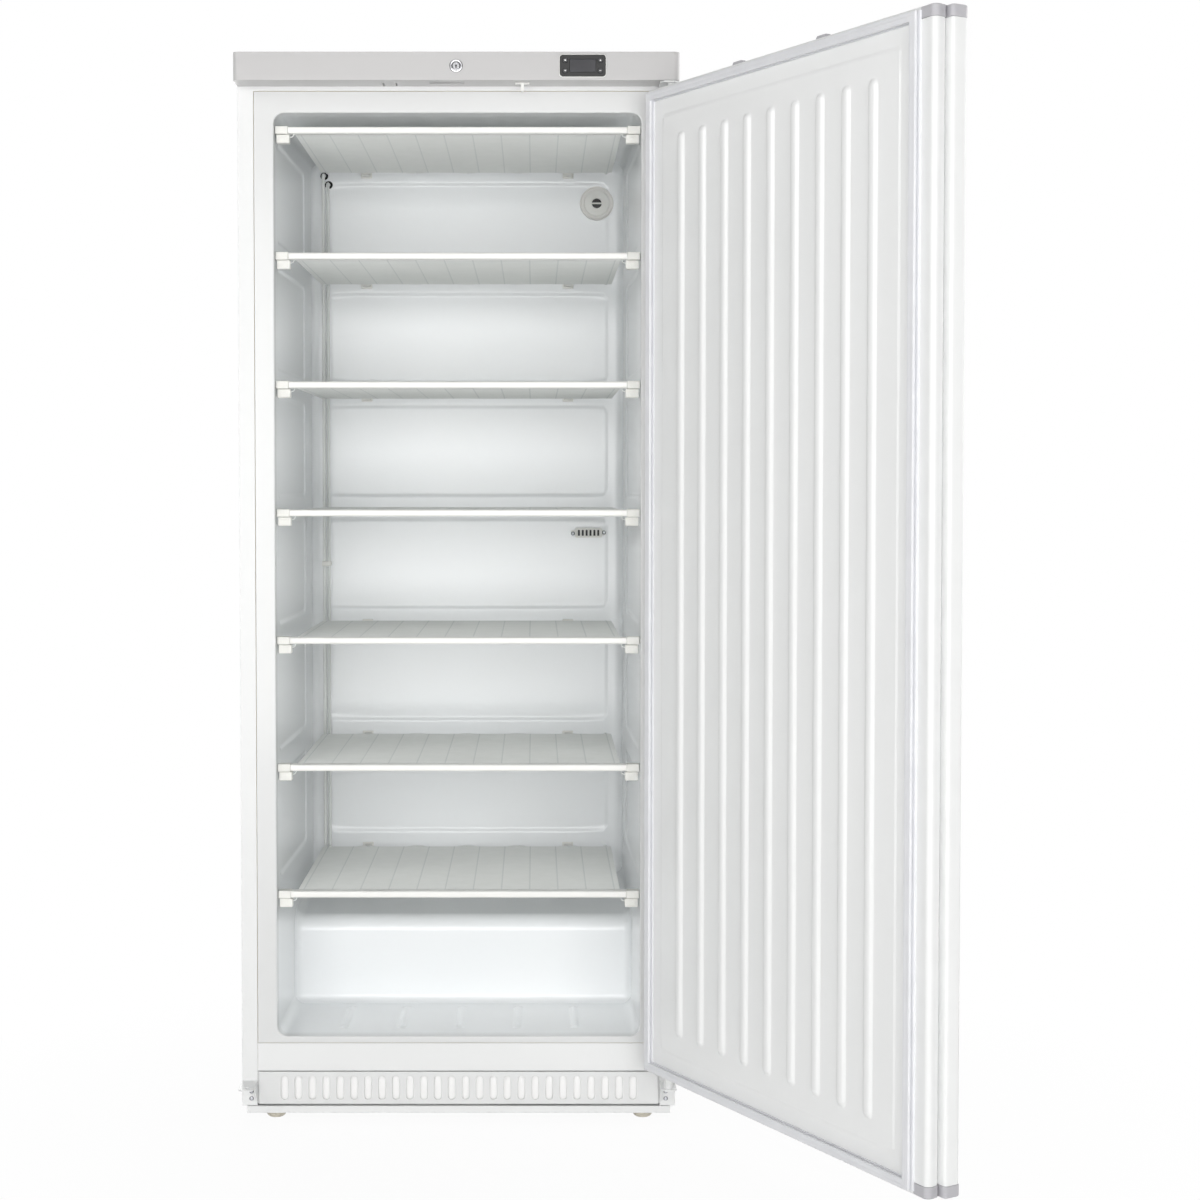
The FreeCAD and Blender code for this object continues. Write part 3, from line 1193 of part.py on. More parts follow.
# --- the back wall's fittings
def rear_vent():
    """Round vent on the back wall: a ring with a sunken floor, and a disc whose hole has a bar."""
    back = cavity_depth - seat
    front = back - vent_thickness
    ring = prism("vent_ring", vent_sides, vent_radius, "y", (vent_x, front, vent_z), vent_thickness)
    sunken = prism("vent_sunken", vent_sides, vent_floor_radius, "y",
                   (vent_x, front - overcut, vent_z), vent_thickness + overcut - vent_floor)
    disc = prism("vent_disc", vent_sides, vent_disc_radius, "y",
                 (vent_x, front - vent_disc_proud, vent_z), vent_thickness + vent_disc_proud - overlap)
    disc = bevelled("vent_disc_bevel", disc, vent_disc_bevel,
                    lambda edge: near(middle(edge).y, front - vent_disc_proud))
    hole = prism("vent_hole", vent_sides, vent_hole_radius, "y",
                 (vent_x, front - vent_disc_proud - overcut, vent_z), vent_thickness + vent_disc_proud)
    bar = box("vent_bar", around(vent_x, vent_hole_radius), (front - vent_disc_proud / 2, back - overcut),
              around(vent_z, vent_bar_height / 2))
    drilled = cut("vent_drilled", fuse("vent_dished", cut("vent_rim", ring, sunken), disc), hole)
    sub_part("rear_vent", fuse("vent_barred", drilled, bar))


def probe_cover():
    """The slotted cover of the temperature probe, on two ears with screw holes."""
    back = cavity_depth + recess_depth - seat
    front = back - cover_depth
    cover = box("cover_block", around(cover_x, cover_width / 2), (front, back),
                around(cover_z, cover_height / 2))
    cover = bevelled("cover_bevel", cover, cover_bevel, lambda edge: runs_along(edge, "y"))
    ears = box("cover_ears", around(cover_x, cover_width / 2 + cover_ear), (back - cover_ear_thickness, back),
               around(cover_z, cover_height / 4))
    hollow = box("cover_hollow", around(cover_x, cover_width / 2 - cover_wall),
                 (front + cover_wall, back + overcut), around(cover_z, cover_height / 2 - cover_wall))
    pitch = cover_width / (cover_slots + 1)
    slots = [box(f"cover_slot_{index}",
                 around(cover_x + pitch * (index - (cover_slots - 1) / 2), cover_slot_width / 2),
                 (front - overcut, front + cover_wall + overcut),
                 around(cover_z, cover_height / 2 - cover_wall * 2)) for index in range(cover_slots)]
    sub_part("probe_cover", cut("cover_slotted", fuse("cover_solid", cover, ears), hollow, *slots))


# --- the door
def hinge_bore(name, at_top):
    """The space of a hinge bush in the door's top or bottom."""
    depth = pin_engagement + bore_clearance
    start = door_top - depth if at_top else door_bottom - overcut
    return prism(name, bush_sides, pin_radius + pin_gap + bush_wall + panel_gap, "z",
                 (hinge_x, -hinge_setback, start), depth + overcut)


def strike_pocket(name):
    """The pocket in the door's top that the bolt turns into."""
    return box(name, (-bolt_slot_left, bolt_slot_right), around(-switch_setback, bolt_slot_width / 2),
               (door_top - strike_depth, door_top + overcut))


def door_pockets(name):
    """What is cut into the door's skin and foam alike: both hinge bores and the strike pocket."""
    return [hinge_bore(f"{name}_bore_top", True), hinge_bore(f"{name}_bore_bottom", False),
            strike_pocket(f"{name}_strike")]


def hinge_edge(edge):
    """The upright front edge of the door on its hinge side."""
    point = middle(edge)
    return runs_along(edge, "z") and point.y < -hinge_setback.value and point.x > hinge_x.value


def door_outer_shell():
    """The door's folded steel skin: outer face, three edges and the flange that carries the gasket."""
    outer = box("door_block", (-handle_joint, half), (-door_outer, -door_inner), (door_bottom, door_top))
    outer = rounded("door_block_round", outer, door_edge_radius, hinge_edge)
    inner = box("door_hollow", (-handle_joint - overcut, half - steel),
                (-door_outer + steel, -door_inner - steel), (door_bottom + steel, door_top - steel))
    window = box("door_window", (-seam_free - panel_gap, seam_hinge + panel_gap),
                 (-door_inner - door_skin, -door_inner + overcut),
                 (seam_bottom - panel_gap, seam_top + panel_gap))
    sub_part("door_outer_shell", cut("door_folded", outer, inner, window, *door_pockets("skin")), ON_DOOR)


def door_insulation():
    """The foam that fills the door."""
    block = box("door_foam_block", (-handle_joint + panel_gap, half - steel),
                (-door_outer + steel, -door_inner - steel), (door_bottom + steel, door_top - steel))
    block = rounded("door_foam_round", block, door_edge_radius - steel, hinge_edge)
    sub_part("door_insulation", cut("door_foam", block, *door_pockets("foam")), ON_DOOR)


def door_ribs(field_x, field_z, crest):
    """Nine long ribs with rounded ends, evenly spaced over the raised field."""
    centre = (field_x[0] + field_x[1]) / 2
    low, high = field_z[0] + door_rib_inset, field_z[1] - door_rib_inset
    first = centre - door_rib_pitch * (door_rib_count - 1) / 2
    body = doc.addObject("PartDesign::Body", "inner_rib_body")
    sketch = new_sketch(body, "inner_rib_profile", "XZ_Plane", -crest)
    draw_slot(sketch, first, (low + high) / 2, door_rib_width, high - low)
    rib = pad(body, sketch, "inner_rib", door_rib_height + overcut)
    rib.TaperAngle = 45
    ribs = [body]
    for index in range(1, door_rib_count):
        copy = doc.addObject("Part::Mirroring", f"inner_rib_copy_{index}")
        copy.Source = body
        copy.Normal = Vector(1, 0, 0)
        copy.Base = Vector((first + door_rib_pitch * index / 2).value, 0, 0)
        ribs.append(copy)
    return ribs


def door_liner():
    """The inner panel: a flat border, a raised field and nine long ribs with rounded ends."""
    back = -door_inner - steel
    border_front = back + door_skin
    border = box("inner_border", (-seam_free, seam_hinge), (back, border_front), (seam_bottom, seam_top))
    border = bevelled("inner_border_bevel", border, border_bevel, lambda edge: runs_along(edge, "y"))
    field_x = (-seam_free + field_inset, seam_hinge - field_inset)
    field_z = (seam_bottom + field_inset, seam_top - field_inset)
    field_front = border_front + field_height
    field = box("inner_field", field_x, (back + overcut, field_front), field_z)
    field = bevelled("inner_field_bevel", field, field_bevel, lambda edge: runs_along(edge, "y"))
    ribs = door_ribs(field_x, field_z, field_front + door_rib_height)
    sub_part("door_liner", fuse("inner_panel", border, field, *ribs), ON_DOOR)


def gasket_ring(name, inset_outer, inset_inner, y):
    """One closed rectangle of the gasket, inset from its outer and inner edges."""
    grow = gasket_width - inset_outer
    outer = box(f"{name}_outer", (-seam_free - grow, seam_hinge + grow), y,
                (seam_bottom - grow, seam_top + grow))
    gap = as_size(inset_inner) + panel_gap
    inner = box(f"{name}_inner", (-seam_free - gap, seam_hinge + gap), (y[0] - overcut, y[1] + overcut),
                (seam_bottom - gap, seam_top + gap))
    return cut(name, outer, inner)


def door_gasket():
    """The magnetic gasket: a foot on the door's flange, a narrower bellows neck and the sealing face."""
    foot_y = (-door_inner, -door_inner + gasket_foot)
    neck_y = (foot_y[1] - overlap, foot_y[1] + gasket_neck)
    face_y = (neck_y[1] - overlap, -gasket_gap)
    foot = gasket_ring("gasket_foot", 0, 0, foot_y)
    neck = gasket_ring("gasket_neck", neck_outer, neck_inner, neck_y)
    face = gasket_ring("gasket_face", face_inset, face_inset, face_y)
    sub_part("door_gasket", fuse("gasket", foot, neck, face), ON_DOOR)


def handle_form(name, grow, z):
    """The full-height edge of the door: an inner lobe, the finger groove and the outer pull lobe."""
    def free_corner(edge):
        return runs_along(edge, "z") and not near(middle(edge).x, -handle_joint)

    inner = box(f"{name}_inner", (-half - grow, -handle_joint), (-groove_inner, -door_inner), z)
    inner = rounded(f"{name}_inner_round", inner, lobe_radius, free_corner)
    outer = box(f"{name}_outer", (-half - handle_reach - grow, -handle_joint),
                (-handle_front - grow, -groove_outer), z)
    outer = rounded(f"{name}_outer_round", outer, lobe_radius, free_corner)
    web = box(f"{name}_web", (-half + groove_depth, -handle_joint),
              (-groove_outer - overcut, -groove_inner + overcut), z)
    return fuse(name, inner, outer, web)


def door_handle():
    """The pull profile on the free edge of the door."""
    profile = handle_form("handle_profile", as_size(0), (door_bottom + cap_height, door_top - cap_height))
    sub_part("door_handle", group("handle", profile), ON_DOOR)


def handle_end_caps():
    """The grey caps that close the two ends of the handle."""
    lower = handle_form("cap_lower", cap_proud, (door_bottom, door_bottom + cap_height - panel_gap))
    upper = handle_form("cap_upper", cap_proud, (door_top - cap_height + panel_gap, door_top))
    sub_part("handle_end_caps", group("caps", lower, upper), ON_DOOR)


def door_switch_tabs():
    """Two small tabs on the door's top edge, one for each way the door can be hung."""
    tabs = []
    tab_top = door_top + tab_height
    for side in (-1, 1):
        tab = box(f"tab_{side + 1}", around(switch_x * side, tab_length / 2),
                  (-tab_setback - tab_depth, -tab_setback), (door_top, tab_top))
        tabs.append(bevelled(f"tab_bevel_{side + 1}", tab, tab_bevel,
                             lambda edge: runs_along(edge, "y") and near(middle(edge).z, tab_top)))
    sub_part("door_switch_tabs", group("tabs", *tabs), ON_DOOR)


def hinge_bush(name, start, flange_start):
    """A plastic bush: a sleeve with a flange, bored for the hinge pin."""
    sleeve = prism(f"bush_{name}_sleeve", bush_sides, pin_radius + pin_gap + bush_wall, "z",
                   (hinge_x, -hinge_setback, start), bush_length)
    flange = prism(f"bush_{name}_flange", bush_sides * 2, bush_flange_radius, "z",
                   (hinge_x, -hinge_setback, flange_start), bush_flange)
    past = bush_flange + overcut
    bore = rod(f"bush_{name}_bore", pin_radius + pin_gap, "z",
               (hinge_x, -hinge_setback, start - past), bush_length + past * 2)
    return cut(f"bush_{name}", fuse(f"bush_{name}_solid", sleeve, flange), bore)


def door_hinge_bushes():
    """The two bushes that the hinge pins turn in."""
    lower = hinge_bush("lower", door_bottom, door_bottom - bush_flange)
    upper = hinge_bush("upper", door_top - bush_length, door_top)
    sub_part("door_hinge_bushes", group("bushes", lower, upper), ON_DOOR)


# --- the machine bay and the back
def compressor():
    """Hermetic compressor: a domed shell on its foot plate, with its terminal box."""
    shell = prism("compressor_shell", foot_sides, compressor_radius, "z",
                  (compressor_x, compressor_y, mounts_top + foot_plate), compressor_height)
    shell = bevelled("compressor_dome", shell, dome_bevel, lambda edge: not runs_along(edge, "z"))
    plate = box("compressor_plate", around(compressor_x, mount_spread + mount_margin),
                around(compressor_y, mount_spread_deep + mount_margin),
                (mounts_top, mounts_top + foot_plate + overlap))
    plate = bevelled("compressor_plate_bevel", plate, plate_bevel, lambda edge: runs_along(edge, "z"))
    terminals = box("compressor_terminals",
                    (compressor_x - compressor_radius - terminal_reach, compressor_x - compressor_radius / 2),
                    around(compressor_y, terminal_size / 2),
                    (mounts_top + terminal_lift, mounts_top + terminal_lift + terminal_size))
    sub_part("compressor", fuse("compressor_whole", shell, plate, terminals))


def compressor_mounts():
    """The four rubber mounts between the compressor's foot plate and the base frame."""
    mounts = []
    for x_side in (-1, 1):
        for y_side in (-1, 1):
            place = (compressor_x + mount_spread * x_side, compressor_y + mount_spread_deep * y_side,
                     base_top)
            mounts.append(prism(f"mount_{x_side + 1}_{y_side + 1}", mount_sides, mount_radius, "z", place,
                                mount_height))
    sub_part("compressor_mounts", group("mounts", *mounts))


def condenser_rods(bottom, top):
    """The upright rods welded to the back of the condenser's tube."""
    side, depth, reach = rod_side.value, rod_depth.value, condenser_reach.value
    step = 2 * reach / (rod_count - 1)
    rods = []
    for index in range(rod_count):
        corner = Vector(step * index - reach - side / 2, (condenser_y + condenser_radius).value + weld_gap,
                        bottom - rod_overhang.value)
        rods.append(Part.makeBox(side, depth, top - bottom + 2 * rod_overhang.value, corner))
    return rods


def condenser_brackets(bottom, top):
    """The four stand-offs between the back panel and the condenser's tube."""
    length = condenser_standoff.value - tube_flat(condenser_radius, tube_facets) - weld_gap
    width, height = standoff_width.value, standoff_height.value
    heights = [bottom + condenser_pitch.value * 2, top - condenser_pitch.value * 2]
    return [Part.makeBox(width, length, height, Vector(x, cabinet_depth.value, z - height / 2))
            for x in (-condenser_half_width.value / 2, condenser_half_width.value / 2) for z in heights]


def condenser():
    """Wire-on-tube condenser on stand-off brackets behind the back panel."""
    bottom = condenser_bottom.value
    rise = condenser_pitch.value * (condenser_runs - 1)
    reach = condenser_half_width.value
    flat = serpentine(condenser_runs, condenser_pitch.value, -reach, reach, bend_chords)
    points = [Vector(point.y, condenser_y.value, bottom + rise / 2 + point.x) for point in flat]
    tube = mitred_tube(points, condenser_radius.value, tube_facets)
    rods = condenser_rods(bottom, bottom + rise)
    brackets = condenser_brackets(bottom, bottom + rise)
    sub_part("condenser", free_shape("condenser_grid", Part.Compound([tube, *rods, *brackets])))


def refrigerant_pipes():
    """Discharge pipe out to the condenser, and suction pipe into the foam."""
    x, y = compressor_x.value, compressor_y.value
    level = (mounts_top + foot_plate + pipe_level).value
    radius = pipe_radius.value
    bend = radius * 4
    shell_edge = (compressor_radius + panel_gap).value
    start = condenser_bottom.value
    y_back = condenser_y.value
    x_out = x + shell_edge + discharge_reach.value
    discharge = [Vector(x + shell_edge, y, level), Vector(x_out, y, level), Vector(x_out, y_back, level),
                 Vector(x_out, y_back, start), Vector((condenser_reach + seat).value, y_back, start)]
    y_out = y - shell_edge - suction_reach.value
    suction = [Vector(x, y - shell_edge, level), Vector(x, y_out, level),
               Vector(x, y_out, (machine_top - steel - panel_gap).value)]
    narrow = 0.6
    solids = [mitred_tube(eased(discharge, bend * narrow), radius * narrow, pipe_sides),
              mitred_tube(eased(suction, bend), radius, pipe_sides)]
    sub_part("refrigerant_pipes", free_shape("pipes", Part.Compound(solids)))


def filter_drier():
    """Copper filter drier, clipped upright in the machine bay."""
    x, y = drier_x, machine_front + drier_setback
    start = base_top + seat
    body_start = start + drier_lift
    body = prism("drier_body", pipe_sides, drier_radius, "z", (x, y, body_start), drier_length)
    body = bevelled("drier_bevel", body, drier_bevel, lambda edge: not runs_along(edge, "z"))
    stub_length = drier_lift + drier_bevel
    lower = prism("drier_lower", pipe_sides, drier_stub_radius, "z", (x, y, start), stub_length)
    upper = prism("drier_upper", pipe_sides, drier_stub_radius, "z",
                  (x, y, body_start + drier_length - drier_bevel), stub_length)
    sub_part("filter_drier", fuse("drier", body, lower, upper))


def evaporating_tray():
    """The open tray on the base plate that catches defrost water."""
    x = (-half + rear_border + tray_margin, -tray_inner_end)
    y = (machine_front + tray_margin, cabinet_depth - rear_border)
    outer = box("tray_outer", x, y, (base_top, base_top + tray_height))
    outer = bevelled("tray_bevel", outer, tray_corner, lambda edge: runs_along(edge, "z"))
    inner = box("tray_inner", (x[0] + tray_wall, x[1] - tray_wall), (y[0] + tray_wall, y[1] - tray_wall),
                (base_top + tray_wall, base_top + tray_height + overcut))
    inner = bevelled("tray_inner_bevel", inner, tray_corner - tray_wall / 2,
                     lambda edge: runs_along(edge, "z"))
    sub_part("evaporating_tray", cut("tray", outer, inner))


def cable_gland():
    """The mains inlet gland in the back panel's lower border, with nothing plugged in."""
    x = -half + rear_border * 2
    z = base_top + rear_border / 2
    collar = prism("gland_collar", 6, gland_radius + gland_collar, "y", (x, cabinet_depth, z),
                   gland_length / 4)
    sleeve = prism("gland_sleeve", gland_sides, gland_radius, "y", (x, cabinet_depth, z), gland_length)
    bore = prism("gland_bore", gland_sides, gland_radius / 2, "y", (x, cabinet_depth + overcut, z),
                 gland_length)
    sub_part("cable_gland", cut("gland", fuse("gland_solid", collar, sleeve), bore))


def build():
    """Makes every sub-part."""
    cabinet_shell()
    liner_and_insulation()
    machine_bay_panel()
    lower_front_panel()
    vent_grille()
    base_frame()
    for name, side in (("left", -1), ("right", 1)):
        front_foot(name, side)
        rear_roller(name, side)
    canopy()
    lock_housing(-canopy_reach)
    lock_barrel(-canopy_reach)
    controller(-canopy_reach)
    door_switch()
    lower_hinge()
    spare_bracket()
    upper_hinge()
    hinge_screws()
    shelves()
    riser_tubes()
    rear_vent()
    probe_cover()
    door_outer_shell()
    door_insulation()
    door_liner()
    door_gasket()
    door_handle()
    handle_end_caps()
    door_switch_tabs()
    door_hinge_bushes()
    compressor()
    compressor_mounts()
    condenser()
    refrigerant_pipes()
    filter_drier()
    evaporating_tray()
    cable_gland()


def write():
    """Checks every object and every sub-part's shape, then writes one file for each sub-part."""
    doc.recompute()
    faults = [thing.Name for thing in doc.Objects if {"Invalid", "Error"} & set(thing.State)]
    faults += [part.Label for part in sub_parts if part.Shape.isNull() or not part.Shape.isValid()]
    if faults:
        raise RuntimeError("failed: " + ", ".join(faults))
    for part in sub_parts:
        part.Shape.exportStep(f"parts/{part.Label}.step")
        box_of = part.Shape.BoundBox
        print(part.Label, len(part.Shape.Solids), "solids", round(part.Shape.Volume), "mm3",
              "height", round(box_of.ZMin, 2), round(box_of.ZMax, 2))
    print(len(sub_parts), "sub-parts; origin", round(origin_x, 3), round(origin_y, 3))


build()
write()
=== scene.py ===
# %% [markdown]
# # An upright freezer with its door open
# The real object is a tall catering freezer: a white steel cabinet with a grey canopy, a deep white
# plastic cavity, seven cooling shelves of bent tube and wire, and a heavy door on the right. This
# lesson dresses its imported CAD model. The model is loaded first and stays a fixed frame, so each
# new piece is drawn where the CAD says and rides on the same body.

# %% Load the frame
import math

import bmesh
import bpy
from mathutils import Matrix, Vector


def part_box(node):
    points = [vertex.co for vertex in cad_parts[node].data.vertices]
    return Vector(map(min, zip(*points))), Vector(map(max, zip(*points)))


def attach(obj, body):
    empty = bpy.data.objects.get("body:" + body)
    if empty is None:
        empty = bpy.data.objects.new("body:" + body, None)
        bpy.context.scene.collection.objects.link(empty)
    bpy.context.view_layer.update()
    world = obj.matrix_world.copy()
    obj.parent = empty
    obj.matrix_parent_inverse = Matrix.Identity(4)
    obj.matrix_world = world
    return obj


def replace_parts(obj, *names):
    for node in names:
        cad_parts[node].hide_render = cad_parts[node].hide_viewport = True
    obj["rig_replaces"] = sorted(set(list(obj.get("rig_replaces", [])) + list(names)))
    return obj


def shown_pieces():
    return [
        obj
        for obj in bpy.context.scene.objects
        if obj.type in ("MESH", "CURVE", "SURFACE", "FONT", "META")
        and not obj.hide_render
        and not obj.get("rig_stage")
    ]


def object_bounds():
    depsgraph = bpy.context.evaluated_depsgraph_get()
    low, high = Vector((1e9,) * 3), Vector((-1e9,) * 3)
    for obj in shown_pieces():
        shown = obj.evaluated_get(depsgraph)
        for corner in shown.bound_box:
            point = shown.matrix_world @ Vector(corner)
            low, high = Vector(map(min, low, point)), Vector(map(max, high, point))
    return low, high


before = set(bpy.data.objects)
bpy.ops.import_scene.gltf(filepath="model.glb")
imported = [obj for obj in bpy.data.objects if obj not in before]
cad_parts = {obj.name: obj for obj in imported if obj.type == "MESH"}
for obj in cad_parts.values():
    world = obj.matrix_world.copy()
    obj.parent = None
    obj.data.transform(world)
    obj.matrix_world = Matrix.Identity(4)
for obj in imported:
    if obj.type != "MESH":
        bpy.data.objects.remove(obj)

CAD_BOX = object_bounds()

# %% [markdown]
# Everything below is drawn in millimetres, as a maker would: x to the right from the cabinet's
# middle, y back from its face and z up from the floor. The door is drawn shut and then swung about
# its hinge by the same angle as in the model. Two matrices turn these drawings into metres in the
# model's frame, and they take their place from the cabinet's own node.

# %% Where the cabinet and the open door are
MM = 0.001
shell_low, shell_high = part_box("cabinet_shell")
MIDDLE = Vector(((shell_low.x + shell_high.x) / 2, shell_low.y, 0))
CABINET = Matrix.Translation(MIDDLE) @ Matrix.Scale(MM, 4)
HINGE = Vector((373, -48, 0))
OPEN_ANGLE = math.radians(118.5)
DOOR = (CABINET @ Matrix.Translation(HINGE) @ Matrix.Rotation(OPEN_ANGLE, 4, "Z")
        @ Matrix.Translation(-HINGE))
print("cabinet", [round(size / MM) for size in shell_high - shell_low], "mm")

# %% [markdown]
# A finish is a small tree of nodes. One helper adds a node with its settings and its links, and one
# turns the hex colours, which are written as they look on a screen, into the linear numbers that
# the shader wants.

# %% Helpers for colour and nodes
def linear(code):
    """A hex colour as linear red, green and blue, fully opaque."""
    parts = [int(code[i:i + 2], 16) / 255 for i in (1, 3, 5)]
    parts = [p / 12.92 if p <= 0.04045 else ((p + 0.055) / 1.055) ** 2.4 for p in parts]
    return (*parts, 1.0)


def add(tree, kind, inputs=None, **settings):
    """Adds a node; an input is given a value, or another node's output to link."""
    node = tree.nodes.new(kind)
    for name, value in settings.items():
        setattr(node, name, value)
    for name, value in (inputs or {}).items():
        if isinstance(value, bpy.types.NodeSocket):
            tree.links.new(value, node.inputs[name])
        else:
            node.inputs[name].default_value = value
    return node


def new_finish(name):
    """An empty material, and its tree to fill."""
    finish = bpy.data.materials.new(name)
    finish.use_nodes = True
    finish.node_tree.nodes.clear()
    return finish, finish.node_tree


def per_mm(size):
    """The noise scale whose grains are about that many millimetres across."""
    return 1 / MM / size


def noise(tree, size, detail=2.0, roughness=0.5, stretch=(1, 1, 1)):
    """Noise on the piece's own coordinates, with grains of a given size in millimetres."""
    place = add(tree, "ShaderNodeTexCoord").outputs["Object"]
    scaled = add(tree, "ShaderNodeMapping", {"Vector": place, "Scale": stretch})
    return add(tree, "ShaderNodeTexNoise", {
        "Vector": scaled.outputs["Vector"], "Scale": per_mm(size), "Detail": detail,
        "Roughness": roughness}).outputs["Fac"]


def coordinate(tree, axis, kind="Object"):
    """One coordinate of the shaded point, or of another vector that goes with it."""
    place = add(tree, "ShaderNodeTexCoord").outputs[kind]
    return add(tree, "ShaderNodeSeparateXYZ", {"Vector": place}).outputs[axis]


def calculate(tree, operation, first, second=0.0):
    """One step of arithmetic on numbers or sockets."""
    return add(tree, "ShaderNodeMath", {0: first, 1: second}, operation=operation).outputs[0]


def ranged(tree, value, start, end, low, high):
    """Low up to start, high from end on, and a straight passage between."""
    return add(tree, "ShaderNodeMapRange", {
        "Value": value, "From Min": start, "From Max": end, "To Min": low, "To Max": high}).outputs["Result"]


def blend(tree, amount, first, second):
    """A colour that goes from first to second; each is a hex colour or a socket."""
    first, second = (linear(tint) if isinstance(tint, str) else tint for tint in (first, second))
    return add(tree, "ShaderNodeMix", {
        "Factor": amount, "A": first, "B": second}, data_type="RGBA").outputs["Result"]


def bump(tree, height, depth, strength=1.0):
    """A bump whose height is a depth in millimetres."""
    return add(tree, "ShaderNodeBump", {
        "Height": height, "Distance": depth * MM, "Strength": strength}).outputs["Normal"]


def end_tree(tree, **inputs):
    """The shader and the output that close a finish."""
    sockets = {name.replace("_", " "): value for name, value in inputs.items()}
    shader = add(tree, "ShaderNodeBsdfPrincipled", sockets)
    add(tree, "ShaderNodeOutputMaterial", {"Surface": shader.outputs["BSDF"]})


print("noise scale for 1 mm grains:", per_mm(1))

# %% [markdown]
# **Powder-coated steel.** The cabinet, the door and the front panels are sheet steel with a baked
# white powder coat. Powder melts into a film with a faint orange peel, a few millimetres from dimple
# to dimple, so its reflections are soft and slightly broken. A noise bump gives the peel and a
# second, very wide noise lets the white drift by a shade, as large coated panels do.

# %% Finish: white powder coat
def powder_coat(name, light, dark, roughness, peel=3.0):
    """Baked powder paint with a fine orange peel."""
    finish, tree = new_finish(name)
    drift = noise(tree, 260, detail=1.0)
    peel_height = noise(tree, peel, detail=1.5)
    end_tree(tree, Base_Color=blend(tree, drift, dark, light), Roughness=roughness, IOR=1.5,
             Normal=bump(tree, peel_height, 0.05, 0.35), Coat_Weight=0.15, Coat_Roughness=0.2)
    return finish


white_powder_coat = powder_coat("white_powder_coated_steel", "#ebecec", "#e5e6e6", 0.38)
grey_powder_coat = powder_coat("silver_grey_powder_coated_steel", "#c7c6c6", "#c1c0c0", 0.36, peel=2.0)
print("finishes:", white_powder_coat.name, grey_powder_coat.name)

# %% [markdown]
# ** Vacuum-formed liner.** The cavity is one sheet of white polystyrene, drawn hot into a mould. It
# is glossier than the coated steel and slightly cool in tone, and it is never quite flat: the sheet
# keeps long, shallow waves that bend its reflections. Its colour holds painted light: the walls deep
# in the cavity, which the lamps reach less, are painted whiter, and the face a shade darker. The door's inner
# panel is made the same way.

# %% Finish: vacuum-formed polystyrene
PAINTED_LIGHT_FROM = 30.0


def painted_light_deep_walls(tree, face, deep):
    """Painted light: the face's colour at the front, and a whiter colour on the deep walls, which the lamps
    reach less.
    """
    inside = ranged(tree, coordinate(tree, "Y"), MIDDLE.y, MIDDLE.y + PAINTED_LIGHT_FROM * MM, 0.0, 1.0)
    return blend(tree, inside, face, deep)


def formed_sheet(name, light, dark, roughness, deep=None):
    """Drawn plastic sheet with long shallow waves; deep colours, when given, are painted light on the deep
    walls.
    """
    finish, tree = new_finish(name)
    waves = noise(tree, 90, detail=0.0)
    grain = noise(tree, 1.6, detail=1.0)
    tone = noise(tree, 320, detail=1.0)
    height = calculate(tree, "ADD", calculate(tree, "MULTIPLY", waves, 6.0), grain)
    colour = blend(tree, tone, dark, light)
    if deep:
        colour = painted_light_deep_walls(tree, colour, blend(tree, tone, *deep))
    end_tree(tree, Base_Color=colour, Roughness=roughness, IOR=1.52,
             Normal=bump(tree, height, 0.04, 0.3), Coat_Weight=0.25, Coat_Roughness=0.12)
    return finish


# Painted light and shade: the face colours are a shade darker and the deep wall colours whiter, so the cavity
# looks as evenly lit as the face.
liner_sheet = formed_sheet("vacuum_formed_liner_polystyrene", "#dfe0e0", "#dbdcdc", 0.26,
                           ("#f7fafc", "#fbfdfe"))
door_sheet = formed_sheet("vacuum_formed_door_polystyrene", "#f4f5f5", "#eff0f0", 0.34)
print("finishes:", liner_sheet.name, door_sheet.name)

# %% [markdown]
# **Moulded plastics.** Trims, clips, caps, the controller and the feet are injection moulded. A
# mould leaves a fine, even grain and nothing else, so one recipe serves them all, and only the
# colour, the gloss and the size of the grain change.

# %% Finish: injection-moulded plastics
def moulded(name, light, dark, roughness, grain=0.8, depth=0.03):
    """Moulded or extruded plastic with an even grain."""
    finish, tree = new_finish(name)
    tone = noise(tree, 45)
    fine = noise(tree, grain)
    end_tree(tree, Base_Color=blend(tree, tone, dark, light), Roughness=roughness, IOR=1.49,
             Normal=bump(tree, fine, depth, 0.4))
    return finish


white_abs = moulded("moulded_white_abs", "#f7f7f4", "#f1f1ee", 0.32)
vent_abs = moulded("moulded_warm_white_abs", "#f1f0ed", "#e9e8e4", 0.4)
grille_abs = moulded("moulded_grey_white_abs", "#e4e5e5", "#dddede", 0.42)
clip_nylon = moulded("moulded_white_nylon", "#f2f2ee", "#e6e6e1", 0.42)
grey_abs = moulded("moulded_grey_abs", "#bdbcc0", "#b4b3b8", 0.4, grain=1.0)
profile_pvc = moulded("extruded_white_pvc", "#f0f1f1", "#eaebeb", 0.5)
gasket_pvc = moulded("soft_white_gasket_pvc", "#eaebee", "#dfe0e4", 0.55, grain=1.4, depth=0.06)
black_abs = moulded("moulded_black_abs", "#101011", "#0b0b0c", 0.38)
dark_grey_abs = moulded("moulded_dark_grey_abs", "#4a4a4d", "#3e3e41", 0.45)
foot_nylon = moulded("moulded_beige_nylon", "#e2ddcf", "#d6d0c1", 0.5, grain=1.2)
black_rubber = moulded("moulded_black_rubber", "#232324", "#19191a", 0.75, grain=1.6, depth=0.08)
tray_plastic = moulded("moulded_light_grey_polypropylene", "#c9ccce", "#bdc1c4", 0.45)
print("materials so far:", len(bpy.data.materials))
